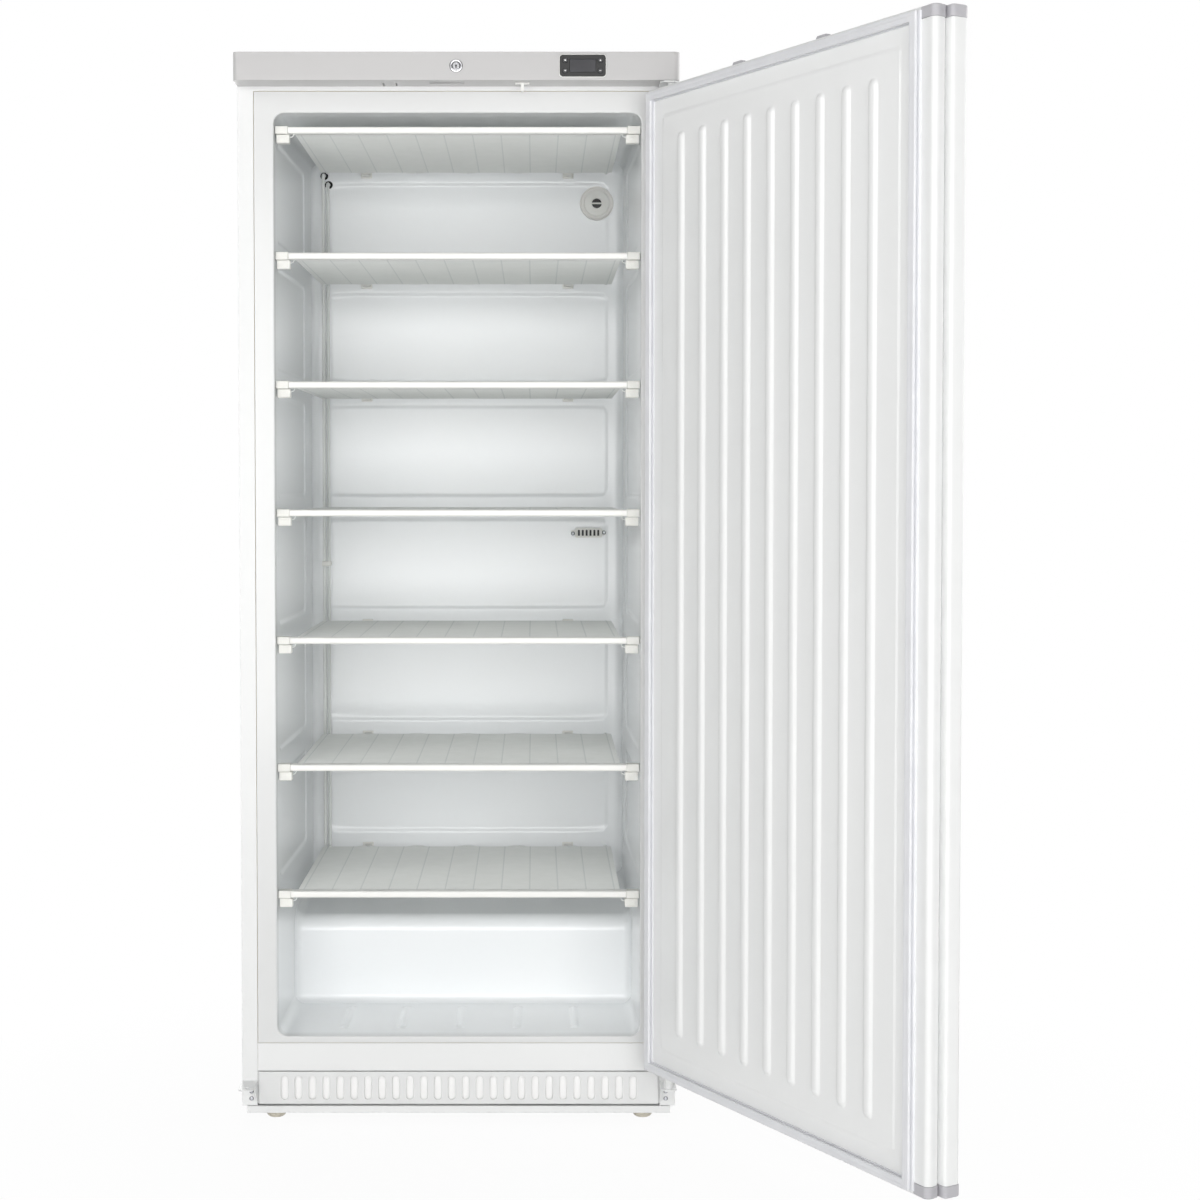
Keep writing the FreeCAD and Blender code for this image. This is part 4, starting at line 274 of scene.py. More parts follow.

# %% [markdown]
# ** Metals.** The hinge screws and pins are bright zinc over steel, which shows as a cool metal with
# patches of slightly different gloss. The lock is turned and polished. The white room holds no dark
# screen to mirror, so a painted reflection of one on each side goes into the colour of the chrome and
# the zinc, which is what makes chrome look like chrome in a white room. The compressor is black enamel over
# pressed steel, and the pipes are drawn copper.

# %% Finish: zinc, chrome, copper and black enamel
def painted_screen_reflection(tree, most):
    """How much painted reflection of a dark screen, left and right, darkens the colour at this point."""
    sideways = calculate(tree, "ABSOLUTE", coordinate(tree, "X", "Reflection"))
    return ranged(tree, sideways, 0.25, 0.75, 0.0, most)


def bare_metal(name, light, dark, rough_low, rough_high, patch, painted_reflection=0.0):
    """Plated or plain metal whose gloss changes in patches, its colour darkened by a painted reflection."""
    finish, tree = new_finish(name)
    patches = noise(tree, patch, detail=3.0)
    scratch = noise(tree, 0.9, stretch=(1, 1, 6))
    bright = blend(tree, patches, dark, light)
    # Painted reflection: the colour darkens towards #2c2c30 where a mirror would look sideways.
    end_tree(tree, Base_Color=blend(tree, painted_screen_reflection(tree, painted_reflection), bright, "#2c2c30"), Metallic=1.0,
             Roughness=ranged(tree, patches, 0.0, 1.0, rough_low, rough_high),
             Normal=bump(tree, scratch, 0.01, 0.3))
    return finish


zinc = bare_metal("bright_zinc_plated_steel", "#c4c5c9", "#a6a8ae", 0.22, 0.42, 6, painted_reflection=0.7)
chrome = bare_metal("polished_chromed_brass", "#cfcfd2", "#bdbdc1", 0.08, 0.16, 12, painted_reflection=0.95)
copper = bare_metal("drawn_copper_tube", "#c98a62", "#a8683f", 0.25, 0.45, 14)
galvanised = bare_metal("galvanised_sheet_steel", "#c3c6c9", "#a9adb1", 0.35, 0.55, 18)
black_enamel = powder_coat("black_enamelled_steel", "#1c1c1e", "#141416", 0.3, peel=1.6)
print("metals:", zinc.name, chrome.name, copper.name, galvanised.name)

# %% [markdown]
# ** Shelf enamel.** Tube and wire are dipped white after welding. The coat is thin and slightly
# greenish. Where a tube passes under the wires, a fine line of painted shade stands for the shadow in
# that crease. Those lines are 1.6 mm wide and lie at the spacing of the tubes, so the finish counts
# them off along x in real millimetres, from the middle of the shelf.

# %% Finish: white enamelled wire
TUBE_PITCH = 51.0
TUBE_SHADE_HALF = 0.8


def shelf_enamel(name, light, dark, tube_shade_colour):
    """Dipped enamel with a fine line of painted shade along each tube."""
    finish, tree = new_finish(name)
    across = calculate(tree, "SUBTRACT", coordinate(tree, "X"), MIDDLE.x)
    steps = calculate(tree, "DIVIDE", across, TUBE_PITCH * MM)
    beside = calculate(tree, "SUBTRACT", calculate(tree, "FRACT", steps), 0.5)
    from_line = calculate(tree, "ABSOLUTE", beside)
    in_tube_shade = ranged(tree, from_line, TUBE_SHADE_HALF / TUBE_PITCH, 2 * TUBE_SHADE_HALF / TUBE_PITCH, 1.0, 0.0)
    tone = blend(tree, noise(tree, 30), dark, light)
    end_tree(tree, Base_Color=blend(tree, in_tube_shade, tone, tube_shade_colour), Roughness=0.42, IOR=1.5,
             Normal=bump(tree, noise(tree, 2.5), 0.05, 0.4))
    return finish


# The third colour is the painted shade along the tubes.
tube_enamel = shelf_enamel("white_enamelled_steel_wire", "#eef0ee", "#e6e9e6", "#dbdfdd")
print("finish:", tube_enamel.name)

# %% [markdown]
# **Foam, fleece and glass.** The insulation can't be seen, but it gets the straw colour and the fine
# cells of rigid polyurethane foam all the same. The filter fleece behind the grille is matted white
# fibre, so its noise is stretched into short strands. The controller's window is dark tinted
# acrylic, smooth enough to mirror the room.

# %% Finish: rigid foam, filter fleece and tinted window
def porous(name, light, dark, roughness, cell, fineness, depth, strength, stretch=(1, 1, 1)):
    """A matt finish of fine cells or strands."""
    finish, tree = new_finish(name)
    cells = noise(tree, cell, 4.0, fineness, stretch)
    end_tree(tree, Base_Color=blend(tree, cells, dark, light), Roughness=roughness,
             Normal=bump(tree, cells, depth, strength))
    return finish


def tinted_window(name, light, dark):
    """Smooth dark acrylic with faint smears."""
    finish, tree = new_finish(name)
    smear = noise(tree, 14)
    end_tree(tree, Base_Color=blend(tree, smear, dark, light), IOR=1.49,
             Roughness=ranged(tree, smear, 0.0, 1.0, 0.12, 0.22))
    return finish


foam = porous("rigid_polyurethane_foam", "#efe0b4", "#d9c48c", 0.95, 1.5, 0.7, 0.4, 0.8)
filter_fleece = porous("matted_white_filter_fleece", "#ffffff", "#f3f3f2", 0.9, 1.2, 0.8, 0.2, 0.4,
                       stretch=(1, 1, 3))
dark_acrylic = tinted_window("tinted_acrylic_window", "#434347", "#39393c")
print("finishes:", foam.name, filter_fleece.name, dark_acrylic.name)

# %% [markdown]
# A piece is drawn in a bmesh, in millimetres. `settle` turns it into an object: it merges doubled
# points, moves the drawing to its place, keeps sharp edges sharp, lets large faces rule the shading
# so that flat panels stay flat, and says which body carries it and which nodes it stands for.

# %% Helpers for shapes
def as_mesh(shape, name):
    """The drawing as a mesh; the drawing itself is freed."""
    mesh = bpy.data.meshes.new(name)
    shape.to_mesh(mesh)
    shape.free()
    return mesh


def baked(holder):
    """The holder's evaluated shape as a plain mesh; the holder and its modifiers go."""
    graph = bpy.context.evaluated_depsgraph_get()
    mesh = bpy.data.meshes.new_from_object(holder.evaluated_get(graph), depsgraph=graph)
    bpy.data.objects.remove(holder)
    return mesh


def link_new(name, data):
    """A new object in the scene."""
    thing = bpy.data.objects.new(name, data)
    bpy.context.scene.collection.objects.link(thing)
    return thing


def settle(name, shape, finish, body, nodes=(), place=CABINET, sharp=50, wall=0.0):
    """Turns a drawing into a finished piece that rides on a body; wall gives a sheet its thickness."""
    bmesh.ops.remove_doubles(shape, verts=shape.verts, dist=0.002)
    drawing = as_mesh(shape, name)
    drawing.transform(place)
    holder = link_new(name + "_drawing", drawing)
    if wall:
        sheet = holder.modifiers.new("wall", "SOLIDIFY")
        sheet.thickness = wall * MM
        sheet.offset = -1
    drawing.shade_smooth()
    drawing.set_sharp_from_angle(angle=math.radians(sharp))
    weights = holder.modifiers.new("flat panels", "WEIGHTED_NORMAL")
    weights.keep_sharp = True
    return carry(name, baked(holder), finish, body, nodes)


def carry(name, mesh, finish, body, nodes=()):
    """Names a finished mesh and gives it its finish, its body and the nodes it stands for."""
    mesh.materials.clear()
    mesh.materials.append(finish)
    piece = link_new(name, mesh)
    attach(piece, body)
    if nodes:
        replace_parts(piece, *nodes)
    return piece


def add_block(shape, x, y, z, bevel=1.0, steps=3):
    """A block between two limits along each axis, with its edges rounded."""
    corners = bmesh.ops.create_cube(shape, size=1)["verts"]
    for corner in corners:
        corner.co = Vector([low + (high - low) * (at + 0.5)
                            for (low, high), at in zip((x, y, z), corner.co)])
    edges = list({edge for corner in corners for edge in corner.link_edges})
    if bevel:
        bmesh.ops.bevel(shape, geom=edges, offset=bevel, segments=steps, profile=0.5,
                        affect="EDGES", clamp_overlap=True)
    return shape


def quarter_turn(steps):
    """Angles from 0 to a right angle in even steps."""
    return [math.pi / 2 * i / steps for i in range(steps + 1)]


def add_rings(shape, rings, closed=True, cap_start=False, cap_end=False):
    """Skins a run of rings, or of open rows, each a list of points of the same length."""
    rows = [[shape.verts.new(point) for point in ring] for ring in rings]
    count = len(rows[0])
    last = count if closed else count - 1
    for first, second in zip(rows, rows[1:]):
        for i in range(last):
            j = (i + 1) % count
            shape.faces.new((first[i], first[j], second[j], second[i]))
    if cap_start:
        shape.faces.new(list(reversed(rows[0])))
    if cap_end:
        shape.faces.new(rows[-1])
    return shape


def add_turned(shape, profile, centre, axis="z", steps=40):
    """Turns (radius, height) pairs about an axis; a profile that ends where it starts is a ring."""
    turn = {"x": Matrix.Rotation(math.pi / 2, 3, "Y"), "y": Matrix.Rotation(-math.pi / 2, 3, "X"),
            "z": Matrix.Identity(3)}[axis]
    rings = []
    for radius, height in profile:
        ring = [Vector((radius * math.cos(a), radius * math.sin(a), height))
                for a in (2 * math.pi * i / steps for i in range(steps))]
        rings.append([Vector(centre) + turn @ point for point in ring])
    made = bmesh.new()
    hollow = profile[0] == profile[-1]
    add_rings(made, rings, cap_start=not hollow and profile[0][0] > 0.01,
              cap_end=not hollow and profile[-1][0] > 0.01)
    bmesh.ops.remove_doubles(made, verts=made.verts, dist=0.001)
    bmesh.ops.recalc_face_normals(made, faces=made.faces)
    return join(shape, made)


def join(shape, other):
    """Adds one drawing to another."""
    carrier = as_mesh(other, "carrier")
    shape.from_mesh(carrier)
    bpy.data.meshes.remove(carrier)
    return shape


def rounded_profile(length, radius, edge):
    """A turned bar from height 0 to length whose two rims are rounded."""
    rim = [(radius - edge + edge * math.sin(a), edge - edge * math.cos(a)) for a in quarter_turn(4)]
    return [(0, 0)] + rim + [(r, length - h) for r, h in reversed(rim)] + [(0, length)]


def face_towards(shape, spot, way):
    """Makes the faces agree, so that the one nearest to a spot looks a given way."""
    bmesh.ops.recalc_face_normals(shape, faces=shape.faces)
    nearest = min(shape.faces, key=lambda face: (face.calc_center_median() - Vector(spot)).length)
    if nearest.normal.dot(Vector(way)) < 0:
        bmesh.ops.reverse_faces(shape, faces=shape.faces)
    return shape


print("shape helpers ready")

# %% [markdown]
# **Camera.** The photograph is a catalogue picture: the camera stands a little right of the
# cabinet's middle, about 3.8 m away and 1.14 m up, and looks down by two degrees. The picture is
# cropped off centre, which the lens shift repeats.

# %% Camera
CAMERA_PLACE = (137, -3776, 1143)
LOOKS_DOWN = math.radians(2.09)
lens = bpy.data.cameras.new("camera")
lens.sensor_width = 36
lens.sensor_fit = "HORIZONTAL"
lens.lens = 63.7
lens.shift_x = 0.0542
lens.shift_y = -0.0312
camera = link_new("camera", lens)
camera.location = CABINET @ Vector(CAMERA_PLACE)
camera.rotation_euler = (math.pi / 2 - LOOKS_DOWN, 0, 0)
bpy.context.scene.camera = camera
bpy.context.scene.view_settings.view_transform = "Standard"
print("camera at", [round(c, 3) for c in camera.location])

# %% [markdown]
# **Light.** White goods are photographed in a bright white room, where light comes from all round
# and shadows almost vanish. The world gives that even light. What the camera sees straight, or in a
# mirror or through glass, is a plain white. A wide soft box in front lights the faces, and one at
# the upper left and a faint one at the right give the gentle fall that models the door's ribs. Three
# more light the top, the side and the back, which the photograph doesn't show.

# %% World, floor and lamps
AMBIENT = 0.22
FLOOR_HALF = 14
SOFT_BOXES = [
    ("left", (-3.2, -3.4, 3.2), (0, 0, 1.0), (2.6, 2.0), 43),
    ("right", (3.0, -3.0, 2.4), (0.2, 0, 1.0), (2.0, 2.2), 5),
    ("back", (-0.8, 5.0, 2.2), (0, 0.6, 1.0), (3.2, 2.4), 75),
    ("side", (5.0, 1.6, 2.2), (0.2, 0, 1.0), (2.6, 2.4), 90),
    ("top", (0.0, 1.5, 5.0), (0, 0.5, 1.0), (3.0, 2.4), 40),
    ("front", (0.05, -5.4, 1.2), (0, 0, 1.0), (5.8, 2.4), 184),
]


def seen_directly(tree):
    """1 for rays from the camera, from gloss and through glass, otherwise 0."""
    path = add(tree, "ShaderNodeLightPath").outputs
    either = calculate(tree, "MAXIMUM", path["Is Camera Ray"], path["Is Glossy Ray"])
    return calculate(tree, "MAXIMUM", either, path["Is Transmission Ray"])


def mixed_shaders(tree, amount, first, second):
    """Two shaders mixed by an amount from 0 to 1."""
    return add(tree, "ShaderNodeMixShader", {
        0: amount, 1: first.outputs[0], 2: second.outputs[0]}).outputs[0]


def white_room():
    """A world that lights evenly and looks plain white."""
    room = bpy.data.worlds.new("white_studio")
    room.use_nodes = True
    tree = room.node_tree
    tree.nodes.clear()
    lit, shown = (add(tree, "ShaderNodeBackground", {"Color": linear("#ffffff"), "Strength": strength})
                  for strength in (AMBIENT, 1.0))
    add(tree, "ShaderNodeOutputWorld", {"Surface": mixed_shaders(tree, seen_directly(tree), lit, shown)})
    return room


def white_paper():
    """Matt paper that shades a little near the cabinet and looks plain white further off."""
    paper, tree = new_finish("white_studio_paper")
    matt = add(tree, "ShaderNodeBsdfDiffuse", {"Color": linear("#f8f8f8")})
    glow = add(tree, "ShaderNodeEmission", {"Color": linear("#ffffff"), "Strength": 1.0})
    place = add(tree, "ShaderNodeTexCoord").outputs["Object"]
    distance = add(tree, "ShaderNodeVectorMath", {0: place}, operation="LENGTH").outputs["Value"]
    glowing = ranged(tree, distance, 0.5, 1.3, 0.95, 1.0)
    amount = calculate(tree, "MULTIPLY", seen_directly(tree), glowing)
    add(tree, "ShaderNodeOutputMaterial", {"Surface": mixed_shaders(tree, amount, matt, glow)})
    return paper


def soft_box(name, place, aim, size, power):
    """A rectangular lamp, placed and aimed in metres."""
    lamp = bpy.data.lights.new(name, "AREA")
    lamp.shape = "RECTANGLE"
    lamp.size, lamp.size_y = size
    lamp.energy = power
    lamp.color = (1.0, 0.995, 0.985)
    box = link_new(name, lamp)
    box.location = place
    box.rotation_euler = (Vector(aim) - Vector(place)).to_track_quat("-Z", "Y").to_euler()


bpy.context.scene.world = white_room()
sweep = bmesh.new()
bmesh.ops.create_grid(sweep, x_segments=4, y_segments=4, size=FLOOR_HALF)
ground = as_mesh(sweep, "studio_floor")
ground.materials.append(white_paper())
link_new("studio_floor", ground)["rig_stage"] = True
for side, *settings in SOFT_BOXES:
    soft_box("soft_box_" + side, *settings)
print("light: ambient", AMBIENT)

# %% [markdown]
# **The liner.** One drawn sheet forms the face, the rounded lip, the four drafted walls, the back
# with its shallow pressed panels, and the floor with five stiffening ribs. Such a form is a
# tube of rounded rectangles that closes at the back, so it is skinned ring by ring. The lines of the
# mesh lie close where a panel's edge passes and far apart on the flats, and each point is
# then pushed out or up by a height worked out from its distance to the nearest outline.

# %% Liner: outlines and heights
OPENING = 325.0
FACE_HALF, FACE_LOW, FACE_HIGH = 360.3, 142.5, 1838.0
FLOOR, CEILING, DEPTH = 155.0, 1800.0, 550.0
DRAFT, CORNER = 10.0, 18.0
LOWEST_SHELF, SHELF_STEP, TOP_SHELF = 408, 228.4, 1772
SHELF_HEIGHTS = [LOWEST_SHELF + SHELF_STEP * level for level in range(6)] + [TOP_SHELF]
PANEL_DEPTH, RIB_HEIGHT = 2.6, 3.0
BACK_PANEL, SIDE_PANEL = (0, 283), (238, 190)
RIB_PITCH, RIB_FROM, RIB_TO = 105, 66, 208
STRETCH_FROM = 1690


def eased_step(low, high, value):
    """0 below low and 1 above high, with a soft passage between."""
    t = min(1.0, max(0.0, (value - low) / (high - low)))
    return t * t * (3 - 2 * t)


def outside_box(u, v, middle, half, radius):
    """Distance of a flat point outside a rounded rectangle; negative inside."""
    du = abs(u - middle[0]) - half[0] + radius
    dv = abs(v - middle[1]) - half[1] + radius
    return math.hypot(max(du, 0), max(dv, 0)) + min(max(du, dv), 0) - radius


def graded(low, high, marks, offsets, coarse):
    """Sorted positions: some near each mark, and wide steps between."""
    spots = {low, high}
    spots |= {mark + offset for mark in marks for offset in offsets if low < mark + offset < high}
    steps = round((high - low) / coarse)
    for i in range(1, steps):
        spot = low + (high - low) * i / steps
        if all(abs(spot - other) > coarse * 0.35 for other in spots):
            spots.add(spot)
    kept = []
    for spot in sorted(spots):
        if not kept or spot - kept[-1] > 1.2 or spot == high:
            kept.append(spot)
    return kept


ABOVE_SHELF, BELOW_SHELF = 29, 20
PANEL_ROWS = [(low + ABOVE_SHELF, high - BELOW_SHELF)
              for low, high in zip(SHELF_HEIGHTS, SHELF_HEIGHTS[1:])]
EDGE = (-6, -3.5, -1.2, 1.2, 3.5, 6)
RIB_CENTRES = [RIB_PITCH * i for i in (-2, -1, 0, 1, 2)]


def pressed(u, z, middle_u, half_u):
    """How deep a wall is pressed at a point, for the panels between the shelves."""
    for low, high in PANEL_ROWS:
        away = outside_box(u, z, (middle_u, (low + high) / 2), (half_u, (high - low) / 2), 18)
        if away < 8:
            return PANEL_DEPTH * (1 - eased_step(-5, 5, away))
    return 0.0


def floor_rib(x, y):
    """Height of the floor's ribs at a point."""
    nearest = min(RIB_CENTRES, key=lambda centre: abs(x - centre))
    along = min(max(y, RIB_FROM), RIB_TO)
    return RIB_HEIGHT * (1 - eased_step(2, 9, math.hypot(x - nearest, y - along)))


print("panels:", [(round(low), round(high)) for low, high in PANEL_ROWS])

# %% Liner: walls, back and face
def liner_ring(y, inset, across, upward):
    """One ring of the cavity at a depth; inset draws it together at the back and opens the lip."""
    fall = DRAFT * max(y, 0) / DEPTH
    wide = OPENING - fall - CORNER
    radius = CORNER - inset
    low, high = FLOOR + inset, CEILING - fall - inset
    spread = [x * wide / (OPENING - DRAFT - CORNER) for x in across]
    top = CEILING - DRAFT - CORNER
    rise = [z + (DRAFT - fall) * min(1, max(0, (z - STRETCH_FROM) / (top - STRETCH_FROM))) for z in upward]
    side = wide + radius

    def corner(cx, cz, start):
        return [Vector((cx + radius * math.cos(a), y, cz + radius * math.sin(a)))
                for a in (math.radians(start) + turned for turned in quarter_turn(5)[1:-1])]

    flat = 1.0 if inset <= 0.01 else 0.0
    ring = [Vector((x, y, low + flat * floor_rib(x, y))) for x in spread]
    ring += corner(wide, FLOOR + CORNER, -90)
    ring += [Vector((side + flat * pressed(y, z, *SIDE_PANEL), y, z)) for z in rise]
    ring += corner(wide, CEILING - fall - CORNER, 0)
    ring += [Vector((x, y, high)) for x in reversed(spread)]
    ring += corner(-wide, CEILING - fall - CORNER, 90)
    ring += [Vector((-side - flat * pressed(y, z, *SIDE_PANEL), y, z)) for z in reversed(rise)]
    ring += corner(-wide, FLOOR + CORNER, 180)
    return ring


def face_edge(lip, inset, y):
    """The face's outer edge: each point of the lip carried out to the rim of the sheet."""
    ring = []
    for point in lip:
        beside = abs(point.x) > OPENING - CORNER - 0.01
        low = point.z < FLOOR + (CORNER + 0.01 if beside else 1)
        high = point.z > CEILING - (CORNER + 0.01 if beside else 1)
        x = math.copysign(FACE_HALF - inset, point.x) if beside else point.x
        z = FACE_LOW + inset if low else FACE_HIGH - inset if high else point.z
        ring.append(Vector((x, y, z)))
    return ring


LIP = 2.5
RIM_STEPS = ((0.35, 4.0), (0.35, 1.0), (0.6, 0.3), (1.2, 0.0))


def liner_shell():
    """The cavity, ring by ring from the rim of the face to the back, and the back itself."""
    wide, top = OPENING - DRAFT - CORNER, CEILING - DRAFT - CORNER
    rib_marks = [centre * 0.975 for centre in RIB_CENTRES]
    across = graded(-wide, wide, [-BACK_PANEL[1], BACK_PANEL[1]], EDGE, 46)
    across = sorted(set(across) | {m + o for m in rib_marks for o in (-10, -7, -4.5, -2, 0, 2, 4.5, 7, 10)})
    edges = [edge for row in PANEL_ROWS for edge in row]
    upward = graded(FLOOR + CORNER, top, edges, EDGE + (-14, -10, 10, 14), 60)
    middle, half = SIDE_PANEL
    marks = [middle - half, middle + half, RIB_FROM - 6, RIB_TO + 6]
    depths = graded(4, DEPTH - CORNER, marks, EDGE + (-14, 14), 34)
    rings = [liner_ring(LIP * (1 - math.cos(a)), -LIP * (1 - math.sin(a)), across, upward)
             for a in quarter_turn(4)]
    rings += [liner_ring(y, 0, across, upward) for y in depths]
    rings += [liner_ring(DEPTH - CORNER + CORNER * math.sin(a), CORNER * (1 - math.cos(a)), across, upward)
              for a in quarter_turn(5)[1:]]
    rim = [face_edge(rings[0], inset, y) for inset, y in RIM_STEPS]
    shape = add_rings(bmesh.new(), rim + rings)
    back = [[(x, DEPTH + pressed(x, z, *BACK_PANEL), z) for x in across] for z in upward]
    add_rings(shape, back, closed=False)
    bmesh.ops.remove_doubles(shape, verts=shape.verts, dist=0.01)
    return face_towards(shape, (0, DEPTH, 1000), (0, -1, 0))

print("cavity:", 2 * OPENING, "x", CEILING - FLOOR, "x", DEPTH, "mm")

# %% [markdown]
# The step over the machine bay is drawn as one strip from the floor, up its front, round a
# generous edge and back along its sloping top. Where a drawn sheet meets another wall it always
# keeps a hollow rounding, so each end of the strip curls up along its own normal.

# %% Liner: the step over the machine bay
STEP_FRONT, STEP_TOP, STEP_SLOPE = 256, 290.4, math.atan(36 / 294)
FOOT_ROUND, EDGE_ROUND, BACK_ROUND, CURL = 14, 30, 12, 16.0


def hollow_round(y, z, radius, angles):
    """Points and normals where the sheet curls up from (y, z) into the next wall."""
    return [((y + radius * math.sin(a), z + radius - radius * math.cos(a)), (-math.sin(a), math.cos(a)))
            for a in angles]


def step_profile():
    """Points and normals (y, z) of the step, from the floor to the back wall."""
    line = hollow_round(STEP_FRONT - FOOT_ROUND, FLOOR, FOOT_ROUND, quarter_turn(5))
    line += [((STEP_FRONT, z), (-1, 0)) for z in (200, 240, 275, STEP_TOP)]
    for i in range(1, 9):
        a = math.pi - (math.pi / 2 - STEP_SLOPE) * i / 8
        point = (STEP_FRONT + EDGE_ROUND + EDGE_ROUND * math.cos(a), STEP_TOP + EDGE_ROUND * math.sin(a))
        line.append((point, (math.cos(a), math.sin(a))))
    (y, z), normal = line[-1]
    for far in (340, 420, 500, DEPTH - BACK_ROUND):
        line.append(((far, z + (far - y) * math.tan(STEP_SLOPE)), normal))
    (y, z), normal = line[-1]
    return line + hollow_round(y, z, BACK_ROUND, quarter_turn(4)[1:])


def step_strip():
    """The step's profile drawn out sideways, with both ends curled up against the walls."""
    rings = []
    for (y, z), (ny, nz) in step_profile():
        side = OPENING - DRAFT * y / DEPTH
        ends = [(CURL * math.sin(a), CURL * (1 - math.cos(a))) for a in quarter_turn(5)]
        right = [(side - CURL + out, up) for out, up in ends]
        row = [(-x, up) for x, up in reversed(right)] + [(side * k / 6, 0) for k in range(-5, 6)] + right
        rings.append([Vector((x, y + ny * up, z + nz * up)) for x, up in row])
    strip = add_rings(bmesh.new(), rings, closed=False)
    return face_towards(strip, (0, 430, 340), (0, 0, 1))


liner_piece = settle("moulded_liner", join(liner_shell(), step_strip()), liner_sheet, "cabinet",
                     ["liner"], wall=1.5)
print("liner faces:", len(liner_piece.data.polygons))

# %% [markdown]
# **The door's inner panel.** It is drawn from the same sheet as the liner: a flat border under the
# gasket, a slightly raised field and nine long ribs that stop it from drumming. Its height is a sum
# of soft steps over distances, sampled on lines that crowd where the surface bends.

# %% Door: inner panel
SEAM_FREE, SEAM_HINGE, SEAM_LOW, SEAM_HIGH = -342.5, 363.5, 129.0, 1806.0
BORDER_LEVEL, FIELD_HEIGHT, DOOR_RIB_HEIGHT = -10.2, 2.0, 4.5
BORDER, RIB_INSET = 28, 34
DOOR_RIBS = [(SEAM_FREE + SEAM_HINGE) / 2 + 66 * i for i in range(-4, 5)]
DOOR_RIB_ENDS = (SEAM_LOW + BORDER + RIB_INSET, SEAM_HIGH - BORDER - RIB_INSET)


def door_level(x, z):
    """Height of the inner panel, towards the cabinet, at a point of the shut door."""
    middle = ((SEAM_FREE + SEAM_HINGE) / 2, (SEAM_LOW + SEAM_HIGH) / 2)
    half = ((SEAM_HINGE - SEAM_FREE) / 2 - BORDER, (SEAM_HIGH - SEAM_LOW) / 2 - BORDER)
    field = FIELD_HEIGHT * (1 - eased_step(-3, 3, outside_box(x, z, middle, half, 14)))
    nearest = min(DOOR_RIBS, key=lambda rib: abs(x - rib))
    low, high = DOOR_RIB_ENDS
    along = min(max(z, low + 13), high - 13)
    rib = DOOR_RIB_HEIGHT * (1 - eased_step(4, 13, math.hypot(x - nearest, z - along)))
    return BORDER_LEVEL + field + rib


def door_panel():
    """The panel's height on a grid of columns, with lines crowded at the ribs and the border."""
    fan = (-13, -11, -9, -7, -4.5, 0, 4.5, 7, 9, 11, 13)
    border_fan = (-3, -1.5, 0, 1.5, 3)
    across = set(graded(SEAM_FREE, SEAM_HINGE, DOOR_RIBS, fan, 30))
    across |= {edge + o for edge in (SEAM_FREE + BORDER, SEAM_HINGE - BORDER) for o in border_fan}
    ends = (0, 1, 2.5, 4.5, 7, 10, 13, 17)
    upward = {DOOR_RIB_ENDS[0] + o for o in ends} | {DOOR_RIB_ENDS[1] - o for o in ends}
    upward |= {edge + o for edge in (SEAM_LOW + BORDER, SEAM_HIGH - BORDER) for o in EDGE}
    upward |= {SEAM_LOW, SEAM_HIGH} | {220 + 112 * i for i in range(14)}
    columns = [[(x, door_level(x, z), z) for z in sorted(upward)] for x in sorted(across)]
    return add_rings(bmesh.new(), columns, closed=False)


panel_piece = settle("door_inner_panel", door_panel(), door_sheet, "door", ["door_liner"],
                     place=DOOR, sharp=60, wall=1.5)
print("door panel faces:", len(panel_piece.data.polygons))

# %% [markdown]
# **Gasket.** A soft extruded profile, mitred at the corners, with a foot, a narrow bellows neck and
# a broad magnetic face. Its outline is drawn once, as distances out from the seam and towards the
# cabinet, and carried round the four corners of the door.

# %% Door: gasket
GASKET_OUTLINE = [
    (0, -12), (17, -12), (17, -9.2), (16.5, -8.6), (13, -8.4), (11.8, -7.6), (11.6, -6.5), (12.6, -5.7),
    (15.1, -5.4), (15.5, -4.7), (15.5, -1.6), (14.7, -0.8), (10, -1.0), (9, -1.5), (8, -1.0), (2.3, -0.8),
    (1.5, -1.6), (1.5, -4.7), (1.9, -5.4), (4.2, -5.7), (5.2, -6.5), (5, -7.6), (4, -8.4), (0.5, -8.6)]


def gasket_loop():
    """The gasket's outline carried round the door's four mitred corners."""
    corners = ((SEAM_FREE, SEAM_LOW, -1, -1), (SEAM_HINGE, SEAM_LOW, 1, -1),
               (SEAM_HINGE, SEAM_HIGH, 1, 1), (SEAM_FREE, SEAM_HIGH, -1, 1))
    rings = [[Vector((x + out * sx, y, z + out * sz)) for out, y in GASKET_OUTLINE]
             for x, z, sx, sz in corners]
    shape = add_rings(bmesh.new(), rings + rings[:1])
    bmesh.ops.remove_doubles(shape, verts=shape.verts, dist=0.001)
    bmesh.ops.recalc_face_normals(shape, faces=shape.faces)
    return shape


settle("door_gasket_profile", gasket_loop(), gasket_pvc, "door", ["door_gasket"],
       place=DOOR)
print("gasket points:", len(GASKET_OUTLINE))

# %% [markdown]
# **Sheet-metal and moulded pieces whose CAD shape is right.** Folded steel never has a knife edge:
# the press leaves a small radius and the paint thickens over it. For these pieces the node's own
# mesh is copied, its loose triangles are merged, its flat areas are cleared and every edge gets a
# fine rounding, so it catches a thin line of light as the real edge does.

# %% Pieces taken from their nodes, with eased edges
def round_edges(name, drawing, ease, sharp):
    """Rounds the sharp edges of a mesh by a hair and keeps its flat areas flat."""
    drawing.shade_smooth()
    holder = link_new(name + "_holder", drawing)
    rounding = holder.modifiers.new("rounding", "BEVEL")
    rounding.width = ease * MM
    rounding.segments = 2
    rounding.limit_method = "ANGLE"
    rounding.angle_limit = math.radians(sharp)
    rounding.use_clamp_overlap = False
    weights = holder.modifiers.new("flat panels", "WEIGHTED_NORMAL")
    weights.keep_sharp = True
    return baked(holder)


